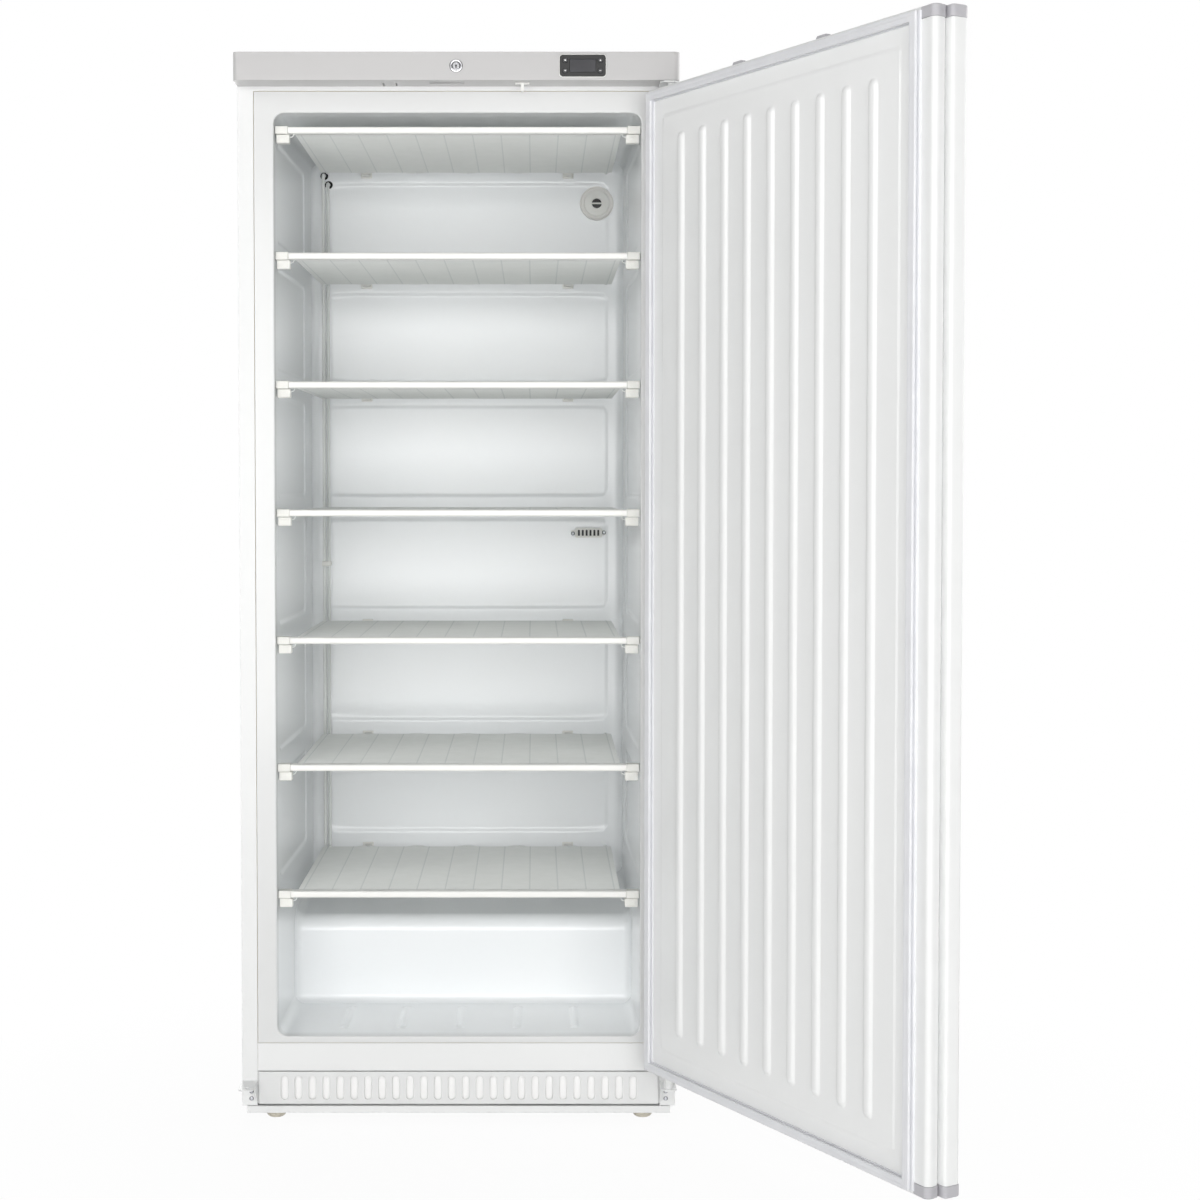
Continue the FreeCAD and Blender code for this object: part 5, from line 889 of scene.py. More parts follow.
def settle_eased(name, shape, finish, body, nodes=(), ease=0.4, place=CABINET, sharp=32):
    """Settles a drawing whose sharp edges are still to be rounded."""
    drawing = as_mesh(shape, name)
    drawing.transform(place)
    return carry(name, round_edges(name, drawing, ease, sharp), finish, body, nodes)


def softened(node, finish, body, slot, ease):
    """A copy of a node with fine rounded edges, which stands for the node."""
    shape = bmesh.new()
    shape.from_mesh(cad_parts[node].data)
    bmesh.ops.remove_doubles(shape, verts=shape.verts, dist=0.00001)
    bmesh.ops.dissolve_limit(shape, angle_limit=math.radians(0.8), verts=shape.verts, edges=shape.edges)
    return settle_eased(node + "_finished", shape, finish, body, [node], ease, Matrix.Identity(4))


FOLDED = [
    ("cabinet_shell", white_powder_coat, "cabinet", "white_enamel", 0.5),
    ("lower_front_panel", white_powder_coat, "cabinet", "white_enamel", 0.4),
    ("machine_bay_panel", galvanised, "cabinet", "zinc_steel", 0.4),
    ("base_frame", white_powder_coat, "cabinet", "white_enamel", 0.5),
    ("canopy", grey_powder_coat, "cabinet", "silver_paint", 0.5),
    ("lower_hinge_bracket", white_powder_coat, "cabinet", "white_enamel", 0.5),
    ("spare_hinge_bracket", white_powder_coat, "cabinet", "white_enamel", 0.5),
    ("upper_hinge_bracket", white_powder_coat, "cabinet", "white_enamel", 0.5),
    ("door_outer_shell", white_powder_coat, "door", "white_enamel", 0.5),
    ("door_switch_tabs", grey_abs, "door", "grey_plastic", 0.6),
    ("controller_display", dark_acrylic, "cabinet", "display_glass", 0.3),
    ("switch_collar", white_abs, "cabinet", "white_plastic", 0.4),
    ("switch_plunger", white_abs, "switch_plunger", "white_plastic", 0.4),
    ("lock_barrel", chrome, "lock_cam", "chrome", 0.3),
    ("evaporating_tray", tray_plastic, "cabinet", "grey_plastic", 0.6),
]
for row in FOLDED:
    softened(*row)
print("softened nodes:", len(FOLDED))

# %% [markdown]
# **The cooling shelves.** Each shelf is one steel tube bent to and fro twelve times, with thin
# wires welded across it above and below. The refrigerant boils in the tube, and the wires carry the
# load and spread the cold. A tube with fillets at its corners and wires at an even spacing follow
# rules, so Geometry Nodes make them: the drawing holds only the tube's corner points.

# %% Helper for node trees that make shapes
def shape_tree(name, sizes):
    """A Geometry Nodes tree with a geometry input and one named number for each size."""
    tree = bpy.data.node_groups.new(name, "GeometryNodeTree")
    tree.interface.new_socket(name="Drawing", in_out="INPUT", socket_type="NodeSocketGeometry")
    for size in sizes:
        kind = "NodeSocketInt" if size.startswith("Number") else "NodeSocketFloat"
        tree.interface.new_socket(name=size, in_out="INPUT", socket_type=kind)
    tree.interface.new_socket(name="Finish", in_out="INPUT", socket_type="NodeSocketMaterial")
    tree.interface.new_socket(name="Shape", in_out="OUTPUT", socket_type="NodeSocketGeometry")
    start = add(tree, "NodeGroupInput").outputs
    return tree, start


def close_tree(tree, start, shape):
    """Realizes the shape, gives it the finish and ends the tree."""
    real = add(tree, "GeometryNodeRealizeInstances", {"Geometry": shape}).outputs[0]
    coated = add(tree, "GeometryNodeSetMaterial", {"Geometry": real, "Material": start["Finish"]}).outputs[0]
    add(tree, "NodeGroupOutput", {"Shape": coated})


def point_at(tree, x=0.0, y=0.0, z=0.0):
    """A vector whose parts are numbers or sockets."""
    return add(tree, "ShaderNodeCombineXYZ", {"X": x, "Y": y, "Z": z}).outputs[0]


def joined(tree, parts):
    """Several geometries as one."""
    whole = add(tree, "GeometryNodeJoinGeometry")
    for part in parts:
        tree.links.new(part, whole.inputs[0])
    return whole.outputs[0]


def in_a_row(tree, piece, number, start, spacing):
    """Copies of a piece along a straight row of points."""
    points = add(tree, "GeometryNodeMeshLine", {
        "Count": number, "Start Location": start, "Offset": spacing}).outputs[0]
    return add(tree, "GeometryNodeInstanceOnPoints", {"Points": points, "Instance": piece}).outputs[0]


def filleted(tree, line, radius, steps):
    """A line with its corners rounded."""
    return add(tree, "GeometryNodeFilletCurve", {
        "Curve": line, "Radius": radius, "Count": steps, "Limit Radius": True}, mode="POLY").outputs[0]


def round_bar(tree, line, radius, sides):
    """A line with the thickness of a round bar."""
    ring = add(tree, "GeometryNodeCurvePrimitiveCircle", {"Resolution": sides, "Radius": radius}).outputs[0]
    return add(tree, "GeometryNodeCurveToMesh", {
        "Curve": line, "Profile Curve": ring, "Fill Caps": True}).outputs[0]


def grow(name, drawing, tree, sizes, finish):
    """Runs a tree on a drawing and returns the plain mesh, still in millimetres."""
    holder = link_new(name + "_holder", drawing)
    growth = holder.modifiers.new("growth", "NODES")
    growth.node_group = tree
    for item in tree.interface.items_tree:
        if item.item_type == "SOCKET" and item.in_out == "INPUT":
            if item.name in sizes:
                growth[item.identifier] = sizes[item.name]
            elif item.name == "Finish":
                growth[item.identifier] = finish
    return baked(holder)


def line_drawing(name, lines, outlines=False):
    """Rows of points as a curve; outlines are closed and lie flat, other lines are open."""
    drawing = bpy.data.curves.new(name, "CURVE")
    drawing.dimensions = "2D" if outlines else "3D"
    for points in lines:
        line = drawing.splines.new("POLY")
        line.points.add(len(points) - 1)
        line.use_cyclic_u = outlines
        for at, point in zip(line.points, points):
            at.co = (*point, 1)
    return drawing

print("tree helpers ready")

# %% A tree for bent tube
def bent_tube_part(tree, start, sides):
    """Rounds the drawing's corners and gives it the thickness of a tube."""
    eased = filleted(tree, start["Drawing"], start["Bend radius"], 7)
    tube = round_bar(tree, eased, start["Tube radius"], sides)
    return add(tree, "GeometryNodeSetShadeSmooth", {"Geometry": tube}).outputs[0]


def tube_tree():
    """The tree that turns a bent line into a tube."""
    tree, start = shape_tree("bent_tube", ["Bend radius", "Tube radius"])
    close_tree(tree, start, bent_tube_part(tree, start, 14))
    return tree


BENT_TUBE = tube_tree()


def bent_tube(name, points, radius, bend, finish, body, nodes=()):
    """A piece of tube along a line of corner points."""
    sizes = {"Bend radius": bend, "Tube radius": radius}
    mesh = grow(name, line_drawing(name, [points]), BENT_TUBE, sizes, finish)
    mesh.transform(CABINET)
    return carry(name, mesh, finish, body, nodes)


print("tree:", BENT_TUBE.name)

# %% A tree for a shelf of tube and wire
def wire_shelf_tree():
    """The tree for a bent tube with a row of wires above and below."""
    tree, start = shape_tree("wire_on_tube_shelf", [
        "Bend radius", "Tube radius", "Wire radius", "Wire spacing", "First wire", "Half wire",
        "Height", "Number of wires"])
    tube = bent_tube_part(tree, start, 12)
    line = add(tree, "GeometryNodeCurvePrimitiveLine", {
        "Start": point_at(tree, calculate(tree, "MULTIPLY", start["Half wire"], -1.0)),
        "End": point_at(tree, start["Half wire"])}).outputs[0]
    wire = round_bar(tree, line, start["Wire radius"], 6)
    sunk = calculate(tree, "MULTIPLY", start["Wire radius"], 0.8)
    reach = calculate(tree, "ADD", start["Tube radius"], sunk)
    parts = [tube]
    for side in (1.0, -1.0):
        level = calculate(tree, "ADD", start["Height"], calculate(tree, "MULTIPLY", reach, side))
        parts.append(in_a_row(tree, wire, start["Number of wires"],
                              point_at(tree, 0.0, start["First wire"], level),
                              point_at(tree, 0.0, start["Wire spacing"], 0.0)))
    close_tree(tree, start, joined(tree, parts))
    return tree


WIRE_SHELF = wire_shelf_tree()


def serpentine(runs, near, far, end, height):
    """Corners of a tube that goes to and fro between near and far; both its ends stop at end."""
    points = [(runs[0], end, height)]
    for number, place in enumerate(runs):
        turn, last_turn = (near, far) if number % 2 == 0 else (far, near)
        if number:
            points.append((place, last_turn, height))
        if number < len(runs) - 1:
            points.append((place, turn, height))
    points.append((runs[-1], end, height))
    return points


SHELF_RUNS = [TUBE_PITCH * (run - 5.5) for run in range(12)]
SHELF_SIZES = {"Bend radius": TUBE_PITCH / 2, "Tube radius": 4.0, "Wire radius": 0.8, "Wire spacing": 5.6,
               "First wire": 37.0, "Half wire": 290.5, "Number of wires": 82}
for number, height in enumerate(SHELF_HEIGHTS, start=1):
    path = serpentine(SHELF_RUNS, 20, 510, 522, height)
    mesh = grow("shelf", line_drawing("shelf_path", [path]), WIRE_SHELF,
                {**SHELF_SIZES, "Height": float(height)}, tube_enamel)
    mesh.transform(CABINET)
    carry(f"cooling_shelf_{number}", mesh, tube_enamel, "cabinet", [f"evaporator_shelf_{number}"])
print("shelf faces:", len(mesh.polygons))

# %% [markdown]
# **Trims and clips.** A white channel is pushed over the front bends of each shelf. It is an
# extrusion, so its outline is drawn once and drawn out along x, with the rims eased. At each end a
# nylon clip in two blocks holds it to the wall: the upper one wraps the channel, and the lower one
# carries the screw and a little spring of wire.

# %% Helper for extruded outlines
def drawn_in(outline, distance):
    """The same closed outline moved inwards; the outline runs anticlockwise."""
    moved = []
    for i, (u, v) in enumerate(outline):
        (pu, pv), (nu, nv) = outline[i - 1], outline[(i + 1) % len(outline)]
        one = Vector((u - pu, v - pv)).normalized()
        two = Vector((nu - u, nv - v)).normalized()
        inward = Vector((-one.y - two.y, one.x + two.x))
        length = max(0.35, 1 + one.dot(two))
        moved.append((u + inward.x * distance / length, v + inward.y * distance / length))
    return moved


def add_extruded(shape, outline, low, high, axis="x", ease=0.5):
    """Draws an outline out along an axis, with both rims rounded."""
    place = {"x": lambda u, v, w: Vector((w, u, v)), "z": lambda u, v, w: Vector((u, v, w)),
             "y": lambda u, v, w: Vector((v, w, u))}[axis]
    steps = [(ease * (1 - math.cos(a)), ease * math.sin(a)) for a in quarter_turn(2)]
    levels = [(low + inset, ease - rise) for inset, rise in steps]
    levels += [(high - inset, ease - rise) for inset, rise in reversed(steps)]
    rings = [[place(u, v, w) for u, v in drawn_in(outline, inset)] for w, inset in levels]
    made = add_rings(bmesh.new(), rings, cap_start=True, cap_end=True)
    bmesh.ops.recalc_face_normals(made, faces=made.faces)
    return join(shape, made)


def arc(cu, cv, radius, start, end, steps=5):
    """Points of an arc between two angles in degrees, both ends included."""
    return [(cu + radius * math.cos(a), cv + radius * math.sin(a))
            for a in (math.radians(start + (end - start) * i / steps) for i in range(steps + 1))]

print("quarter arc:", [(round(u, 2), round(v, 2)) for u, v in arc(0, 0, 1, 0, 90, 2)])

# %% Shelf trims and clips
TRIM_HALF, PEG_X = 301, 204
TRIM_OUTLINE = ([(33, 4.3), (33, 5.4)] + arc(31.9, 5.4, 0.6, 45, 90, 1)
                + arc(16.5, 2.5, 3.5, 90, 180) + arc(16.5, -2.5, 3.5, 180, 270)
                + [(32.4, -6), (33, -5.4), (33, -4.3), (17.5, -4.3), (14.7, -2.8), (14.7, 2.8), (17.5, 4.3)])


def shelf_clip(side):
    """One clip, drawn for a shelf at height 0."""
    shape = bmesh.new()
    low, high = (301.2, 324.0) if side > 0 else (-324.0, -301.2)
    add_block(shape, (low, high), (12, 33.8), (-7, 7), 1.6)
    add_block(shape, (low + 1.2, high - 1.2), (11.7, 14), (-4.6, 4.6), 0.5)
    inner = (298.4, 321.8) if side > 0 else (-321.8, -298.4)
    add_block(shape, inner, (14.2, 31), (-23, -7.6), 1.8)
    add_block(shape, (inner[0] + 4, inner[1] - 4), (13.4, 16), (-20, -11), 0.7)
    middle = sum(inner) / 2
    return add_turned(shape, rounded_profile(1.6, 3.0, 0.6), (middle, 12.6, -15.5), "y", 20)


for number, height in enumerate(SHELF_HEIGHTS, start=1):
    lifted = [(u, v + height) for u, v in reversed(TRIM_OUTLINE)]
    settle(f"shelf_channel_{number}", add_extruded(bmesh.new(), lifted, -TRIM_HALF, TRIM_HALF, "x", 0.3),
           white_abs, "cabinet", [f"shelf_trim_{number}"], sharp=45)
clips = bmesh.new()
for height in SHELF_HEIGHTS:
    for side in (-1, 1):
        one = shelf_clip(side)
        bmesh.ops.translate(one, verts=one.verts, vec=(0, 0, height))
        join(clips, one)
settle("shelf_clips", clips, clip_nylon, "cabinet", ["shelf_front_clips"], sharp=45)
pegs = bmesh.new()
for height in SHELF_HEIGHTS:
    for x in (-PEG_X, PEG_X):
        add_block(pegs, (x - 8, x + 8), (514.3, 549.8), (height - 6, height + 2), 1.5)
        add_block(pegs, (x - 11, x + 11), (546.4, 549.8), (height - 9, height + 5), 1.2)
settle("shelf_rear_pegs", pegs, clip_nylon, "cabinet", ["shelf_rear_clips"], sharp=45)
print("clips and pegs:", 4 * len(SHELF_HEIGHTS))

# %% [markdown]
# **Risers.** Two tubes climb the back left corner and feed the shelves from one to the next. A
# nylon band holds them together half way up, and dark grommets seal the holes where they pass
# through the liner.

# %% Riser tubes, band and grommets
RISERS = [(-289.5, 1768.0), (-280.5, 1750.0)]
RISER_Y, WALL_Y = 526, 549.8
GROMMET = [(3.6, -0.2), (7.6, -0.2), (8.0, -1.0), (7.6, -2.4), (6.4, -3.2), (4.6, -3.2), (3.6, -2.4),
           (3.6, -0.2)]
for index, (x, top) in enumerate(RISERS):
    climb = [(x, RISER_Y, 352), (x, RISER_Y, top), (x, WALL_Y, top)]
    bent_tube(f"riser_tube_{index + 1}", climb, 3.5, 9.0, tube_enamel, "cabinet",
              ["riser_tubes"] if index == 0 else ())
band = add_block(bmesh.new(), (-294.6, -275.4), (520.9, 531.1), (979, 989), 2.0)
settle("riser_band", band, clip_nylon, "cabinet", sharp=45)
grommets = bmesh.new()
for x, top in RISERS:
    add_turned(grommets, GROMMET, (x, 549.9, top), "y", 24)
settle("riser_grommets", grommets, black_rubber, "cabinet", sharp=45)
print("risers:", len(RISERS))

# %% [markdown]
# **Air grille.** The plate under the door is moulded with a row of upright slots with round ends,
# which let air into the machine bay. A tree makes them: a rectangle and a row of rounded slot
# outlines are filled together, so the slots stay open, and the sheet is then given its thickness.

# %% Air grille
def thickened(tree, flat, thickness):
    """Gives filled outlines their thickness, as a closed shape."""
    risen = add(tree, "GeometryNodeExtrudeMesh", {
        "Mesh": flat, "Offset Scale": thickness, "Individual": False}).outputs[0]
    under = add(tree, "GeometryNodeFlipFaces", {"Mesh": flat}).outputs[0]
    whole = joined(tree, (risen, under))
    return add(tree, "GeometryNodeMergeByDistance", {"Geometry": whole, "Distance": 0.01}).outputs[0]


def rectangle(tree, width, height):
    """A closed rectangle round the origin."""
    return add(tree, "GeometryNodeCurvePrimitiveQuadrilateral", {"Width": width, "Height": height}).outputs[0]


def filled_plate(tree, start, outlines):
    """Fills outlines, so that one inside another stays open, and gives the sheet its thickness."""
    flat = add(tree, "GeometryNodeFillCurve", {"Curve": outlines}, mode="NGONS").outputs[0]
    close_tree(tree, start, thickened(tree, flat, start["Thickness"]))


def slotted_plate_tree():
    """The tree for a plate with a row of slots with round ends."""
    tree, start = shape_tree("slotted_plate", [
        "Plate width", "Plate height", "Thickness", "Slot width", "Slot height", "Slot spacing",
        "Number of slots"])
    rim = rectangle(tree, start["Plate width"], start["Plate height"])
    end_radius = calculate(tree, "MULTIPLY", start["Slot width"], 0.498)
    slot = filleted(tree, rectangle(tree, start["Slot width"], start["Slot height"]), end_radius, 6)
    gaps = calculate(tree, "SUBTRACT", start["Number of slots"], 1.0)
    first = calculate(tree, "MULTIPLY", calculate(tree, "MULTIPLY", start["Slot spacing"], gaps), -0.5)
    slots = in_a_row(tree, slot, start["Number of slots"], point_at(tree, first),
                     point_at(tree, start["Slot spacing"]))
    slots = add(tree, "GeometryNodeRealizeInstances", {"Geometry": slots}).outputs[0]
    filled_plate(tree, start, joined(tree, (rim, slots)))
    return tree


SLOTTED_PLATE = slotted_plate_tree()
GRILLE_HALF, GRILLE_LOW, GRILLE_HIGH = 358, 33, 91
SHEET, EAR_OUT, SLOTS = 2.5, 368.5, 26
plate = grow("grille", bpy.data.meshes.new("grille_drawing"), SLOTTED_PLATE, {
    "Plate width": 2.0 * GRILLE_HALF, "Plate height": float(GRILLE_HIGH - GRILLE_LOW), "Thickness": SHEET,
    "Slot width": 13.0, "Slot height": 42.5, "Slot spacing": 25.0, "Number of slots": SLOTS}, white_abs)
UPRIGHT = Matrix.Rotation(math.pi / 2, 4, "X")
plate.transform(Matrix.Translation((0, 0, (GRILLE_LOW + GRILLE_HIGH) / 2)) @ UPRIGHT)
grille = bmesh.new()
grille.from_mesh(plate)
grille_box = [f(v.co.y for v in grille.verts) for f in (min, max)]
bmesh.ops.translate(grille, verts=grille.verts, vec=(0, -SHEET - grille_box[0], 0))
for rim_low, rim_high in ((GRILLE_HIGH - SHEET, GRILLE_HIGH), (GRILLE_LOW, GRILLE_LOW + SHEET)):
    add_block(grille, (-GRILLE_HALF, GRILLE_HALF), (-1.2, 12), (rim_low, rim_high), 0.6)
for ear in ((-EAR_OUT, 1 - GRILLE_HALF), (GRILLE_HALF - 1, EAR_OUT)):
    add_block(grille, ear, (1.4, 1.4 + SHEET), (GRILLE_LOW, GRILLE_HIGH), 0.5)
settle_eased("air_grille", grille, grille_abs, "cabinet", ["vent_grille"], 0.45, sharp=50)
print("grille y range:", [round(y, 2) for y in grille_box])

# %% [markdown]
# **Flat pieces with openings.** The controller's bezel, its light rim and the probe cover are plates
# with windows. Their outlines are drawn as closed lines, a tree fills them together, so that an
# outline inside another becomes a hole, and gives the sheet its thickness.

# %% Helpers for plates with openings
def rounded_box(half_u, half_v, radius, middle_u, middle_v, steps=5):
    """Outline of a rounded rectangle, anticlockwise."""
    outline = []
    for side_u, side_v, start in ((1, 1, 0), (-1, 1, 90), (-1, -1, 180), (1, -1, 270)):
        outline += arc(middle_u + side_u * (half_u - radius), middle_v + side_v * (half_v - radius),
                       radius, start, start + 90, steps)
    return outline


def round_hole(u, v, radius):
    """Outline of a round opening."""
    return arc(u, v, radius, 0, 360, 24)[:-1]


def open_plate_tree():
    """The tree that fills drawn outlines to a plate."""
    tree, start = shape_tree("plate_with_openings", ["Thickness"])
    filled_plate(tree, start, start["Drawing"])
    return tree


OPEN_PLATE = open_plate_tree()


def open_plate(outlines, front, thickness):
    """An upright plate with openings, whose front lies at a given y."""
    drawing = line_drawing("outlines", [[(u, v, 0) for u, v in line] for line in outlines], outlines=True)
    mesh = grow("plate", drawing, OPEN_PLATE, {"Thickness": float(thickness)}, white_abs)
    mesh.transform(UPRIGHT)
    nearest = min(point.co.y for point in mesh.vertices)
    mesh.transform(Matrix.Translation((0, front - nearest, 0)))
    shape = bmesh.new()
    shape.from_mesh(mesh)
    return shape


print("tree:", OPEN_PLATE.name)

# %% [markdown]
# **Lock and controller.** The lock is a turned ring with a fine groove round a barrel. The
# controller's black bezel sits in a narrow light rim, and its four round buttons are dished for a
# fingertip and carry small moulded marks: a block, a bar and two arrows.

# %% Lock, controller and buttons
CONTROLS_Z, CANOPY_FRONT = 1870.5, -60.0
DISPLAY_X, BUTTON_OUT, BUTTON_UP = 220, 30.5, 9
BEZEL_HALF, BEZEL_HALF_HEIGHT, WELL = 40, 18.75, 4.15
LOCK_RING = [(6.15, 24.5), (6.15, 0.9), (6.7, 0.35), (7.1, 0.7), (7.6, 0.75), (8.1, 0.25), (8.9, 0),
             (10.2, 0), (10.9, 0.3), (11.4, 0.9), (11.5, 1.6), (11.5, 2.5), (9.5, 2.6), (9.5, 24.2),
             (9.2, 24.5), (6.15, 24.5)]
LOCK_NUT = [(9.4, 0), (12.2, 0), (13, 0.8), (13, 3.2), (12.2, 4), (9.4, 4), (9.4, 0)]
lock = add_turned(bmesh.new(), LOCK_RING, (0, CANOPY_FRONT - 2.5, CONTROLS_Z), "y", 48)
add_turned(lock, LOCK_NUT, (0, CANOPY_FRONT + 1.4, CONTROLS_Z), "y", 6)
settle("lock_ring", lock, chrome, "cabinet", ["lock_housing"])
# A black disc and slot in the barrel's keyhole: painted shade for the dark keyway.
KEYWAY_DISC = [(0, 0), (1.4, 0), (1.7, 0.2), (1.7, 1.5), (0, 1.5)]
keyway = add_turned(bmesh.new(), KEYWAY_DISC, (0, CANOPY_FRONT - 2.1, CONTROLS_Z), "y", 24)
add_block(keyway, (-0.6, 0.6), (CANOPY_FRONT - 2.1, CANOPY_FRONT), (CONTROLS_Z - 4, CONTROLS_Z), 0.2)
settle("lock_keyway_shutter", keyway, black_abs, "lock_cam")

BUTTONS = [(DISPLAY_X + side * BUTTON_OUT, CONTROLS_Z + up * BUTTON_UP) for side in (-1, 1) for up in (1, -1)]


def framed(margin, radius):
    """The bezel's outline, moved out by a margin or in by a negative one."""
    return rounded_box(BEZEL_HALF + margin, BEZEL_HALF_HEIGHT + margin, radius, DISPLAY_X, CONTROLS_Z)


wells = [round_hole(x, z, WELL) for x, z in BUTTONS]
window = rounded_box(22.7, 11.2, 1.5, DISPLAY_X, CONTROLS_Z)
bezel = open_plate([framed(0, 5.5), window] + wells, CANOPY_FRONT - 3, 3)
join(bezel, open_plate([framed(-4, 1)] + wells, CANOPY_FRONT - 0.4, 3.6))
add_block(bezel, (DISPLAY_X - 36, DISPLAY_X + 36), (CANOPY_FRONT + 3.1, -26),
          (CONTROLS_Z - 14.75, CONTROLS_Z + 14.75), 1)
settle_eased("controller_face", bezel, black_abs, "cabinet", ["controller_bezel"], 0.7)
rim = open_plate([framed(1.1, 6.4), framed(-0.2, 5.3)], CANOPY_FRONT - 1.1, 1.1)
settle_eased("controller_rim", rim, white_abs, "cabinet", ease=0.25)

BUTTON_PROFILE = [(0, 0.3), (2.4, 0.18), (3.2, 0), (3.7, 0.15), (3.95, 0.6), (4, 1.2), (4, 5.8), (3.8, 6),
                  (0, 6)]
MARKS = [[(-1.5, -1.1), (1.5, -1.1), (1.5, 1.1), (-1.5, 1.1)], [(0, -1.5), (1.7, 1.1), (-1.7, 1.1)],
         [(-1.7, -1.1), (1.7, -1.1), (0, 1.5)], [(-1.7, -0.45), (1.7, -0.45), (1.7, 0.45), (-1.7, 0.45)]]
for number, ((x, z), mark) in enumerate(zip(BUTTONS, MARKS), start=1):
    button = add_turned(bmesh.new(), BUTTON_PROFILE, (x, CANOPY_FRONT - 4, z), "y", 28)
    settle(f"button_{number}_cap", button, dark_grey_abs, f"button_{number}", [f"controller_button_{number}"])
    raised = open_plate([[(x + u, z + v) for u, v in mark]], CANOPY_FRONT - 4.1, 0.5)
    settle_eased(f"button_{number}_mark", raised, white_abs, f"button_{number}",
                 ease=0.08)
print("buttons:", len(BUTTONS))

# %% [markdown]
# **The door's pull edge.** One extrusion runs the whole height of the door: an inner lobe that
# hollows gently towards the finger groove, and an outer lobe that stands 9 mm further out. Grey caps
# of the same section, a little larger, close its two ends.

# %% Handle profile and its end caps
HANDLE_OUTLINE = (
    [(-358, -12.0)] + arc(-380.5, -20, 8, 90, 180, 6)
    + [(-388.2, -23), (-387.4, -26), (-386.6, -28.6), (-386.3, -30.4)] + arc(-384.6, -31.2, 1.8, 180, 270, 3)
    + [(-380, -33)] + arc(-379, -35.5, 2.5, 90, 270, 6) + [(-386, -38)]
    + arc(-392.5, -43, 5, 90, 180, 4) + [(-397.4, -50), (-397, -54)] + arc(-388, -58.5, 9, 180, 270, 7)
    + [(-372, -67.5)] + arc(-363, -62.5, 5, 270, 360, 4))
DOOR_FOOT, PROFILE_FOOT, PROFILE_HEAD, DOOR_HEAD = 107, 125, 1810, 1828
profile = add_extruded(bmesh.new(), HANDLE_OUTLINE, PROFILE_FOOT, PROFILE_HEAD, "z", 0.2)
settle("door_pull_profile", profile, profile_pvc, "door", ["door_handle"], place=DOOR)
cap_outline = drawn_in(HANDLE_OUTLINE, -1.2)
cap_outline[0] = HANDLE_OUTLINE[0]
caps = add_extruded(bmesh.new(), cap_outline, DOOR_FOOT, PROFILE_FOOT - 0.2, "z", 1.6)
add_extruded(caps, cap_outline, PROFILE_HEAD + 0.2, DOOR_HEAD, "z", 1.6)
settle("door_pull_caps", caps, grey_abs, "door", ["handle_end_caps"], place=DOOR)
print("outline points:", len(HANDLE_OUTLINE))

# %% [markdown]
# **Screws.** The same pan-head screw holds the hinge brackets and the probe cover. It is drawn once,
# with its cross recess cut in, and a tree puts copies of it on the points of a drawing.

# %% Screws by copies on points
def copies_tree():
    """The tree that puts copies of an object on the points of a drawing."""
    tree, start = shape_tree("copies_on_points", [])
    tree.interface.new_socket(name="Copied piece", in_out="INPUT", socket_type="NodeSocketObject")
    model = add(tree, "GeometryNodeObjectInfo", {"Object": start["Copied piece"]}).outputs["Geometry"]
    placed = {"Points": start["Drawing"], "Instance": model}
    copies = add(tree, "GeometryNodeInstanceOnPoints", placed).outputs[0]
    close_tree(tree, start, copies)
    return tree


def pan_head():
    """A screw with its head's underside at y 0 and a cross recess in its front."""
    profile = [(0, -2.4), (1.6, -2.35), (2.8, -2.1), (3.6, -1.5), (4, -0.7), (4, 0), (2.2, 0), (2.2, 2.8),
               (0, 2.8)]
    head = as_mesh(add_turned(bmesh.new(), profile, (0, 0, 0), "y", 24), "pan_head")
    cross = add_block(bmesh.new(), (-2, 2), (-3, -1.3), (-0.4, 0.4), 0)
    add_block(cross, (-0.4, 0.4), (-3, -1.3), (-2, 2), 0)
    tool = link_new("cross", as_mesh(cross, "cross"))
    holder = link_new("pan_head", head)
    recess = holder.modifiers.new("recess", "BOOLEAN")
    recess.operation = "DIFFERENCE"
    recess.object = tool
    recess.solver = "EXACT"
    recess.use_self = True
    mesh = baked(holder)
    bpy.data.objects.remove(tool)
    mesh.shade_smooth()
    mesh.set_sharp_from_angle(angle=math.radians(40))
    return mesh


COPIES = copies_tree()
SCREW = pan_head()


def screws(name, places, size=1.0, nodes=()):
    """Screws with their heads' undersides at the given places."""
    model = link_new("screw_model", SCREW)
    model.scale = (size, size, size)
    points = bpy.data.meshes.new(name)
    points.from_pydata(places, [], [])
    mesh = grow(name, points, COPIES, {"Copied piece": model}, zinc)
    bpy.data.objects.remove(model)
    mesh.transform(CABINET)
    return carry(name, mesh, zinc, "cabinet", nodes)


low_screws = [(side * 371.5, -3, z) for side in (-1, 1) for z in (43, 56)]
high_screws = [(HINGE.x + 7.5 * side, -3, 1836.25) for side in (-1, 1)]
screws("bracket_screws", low_screws + high_screws, nodes=["hinge_screws"])
screws("cover_screws", [(214.4, 550, 1044.5), (277.6, 550, 1046.5)], 0.9)
print("screw faces:", len(SCREW.polygons))

# %% [markdown]
# **Fittings of the back wall.** The vent is a ring with a sunken floor round a low disc, and a bar
# crosses the dark hole in its middle. The probe's cover is a shallow box with upright slots.

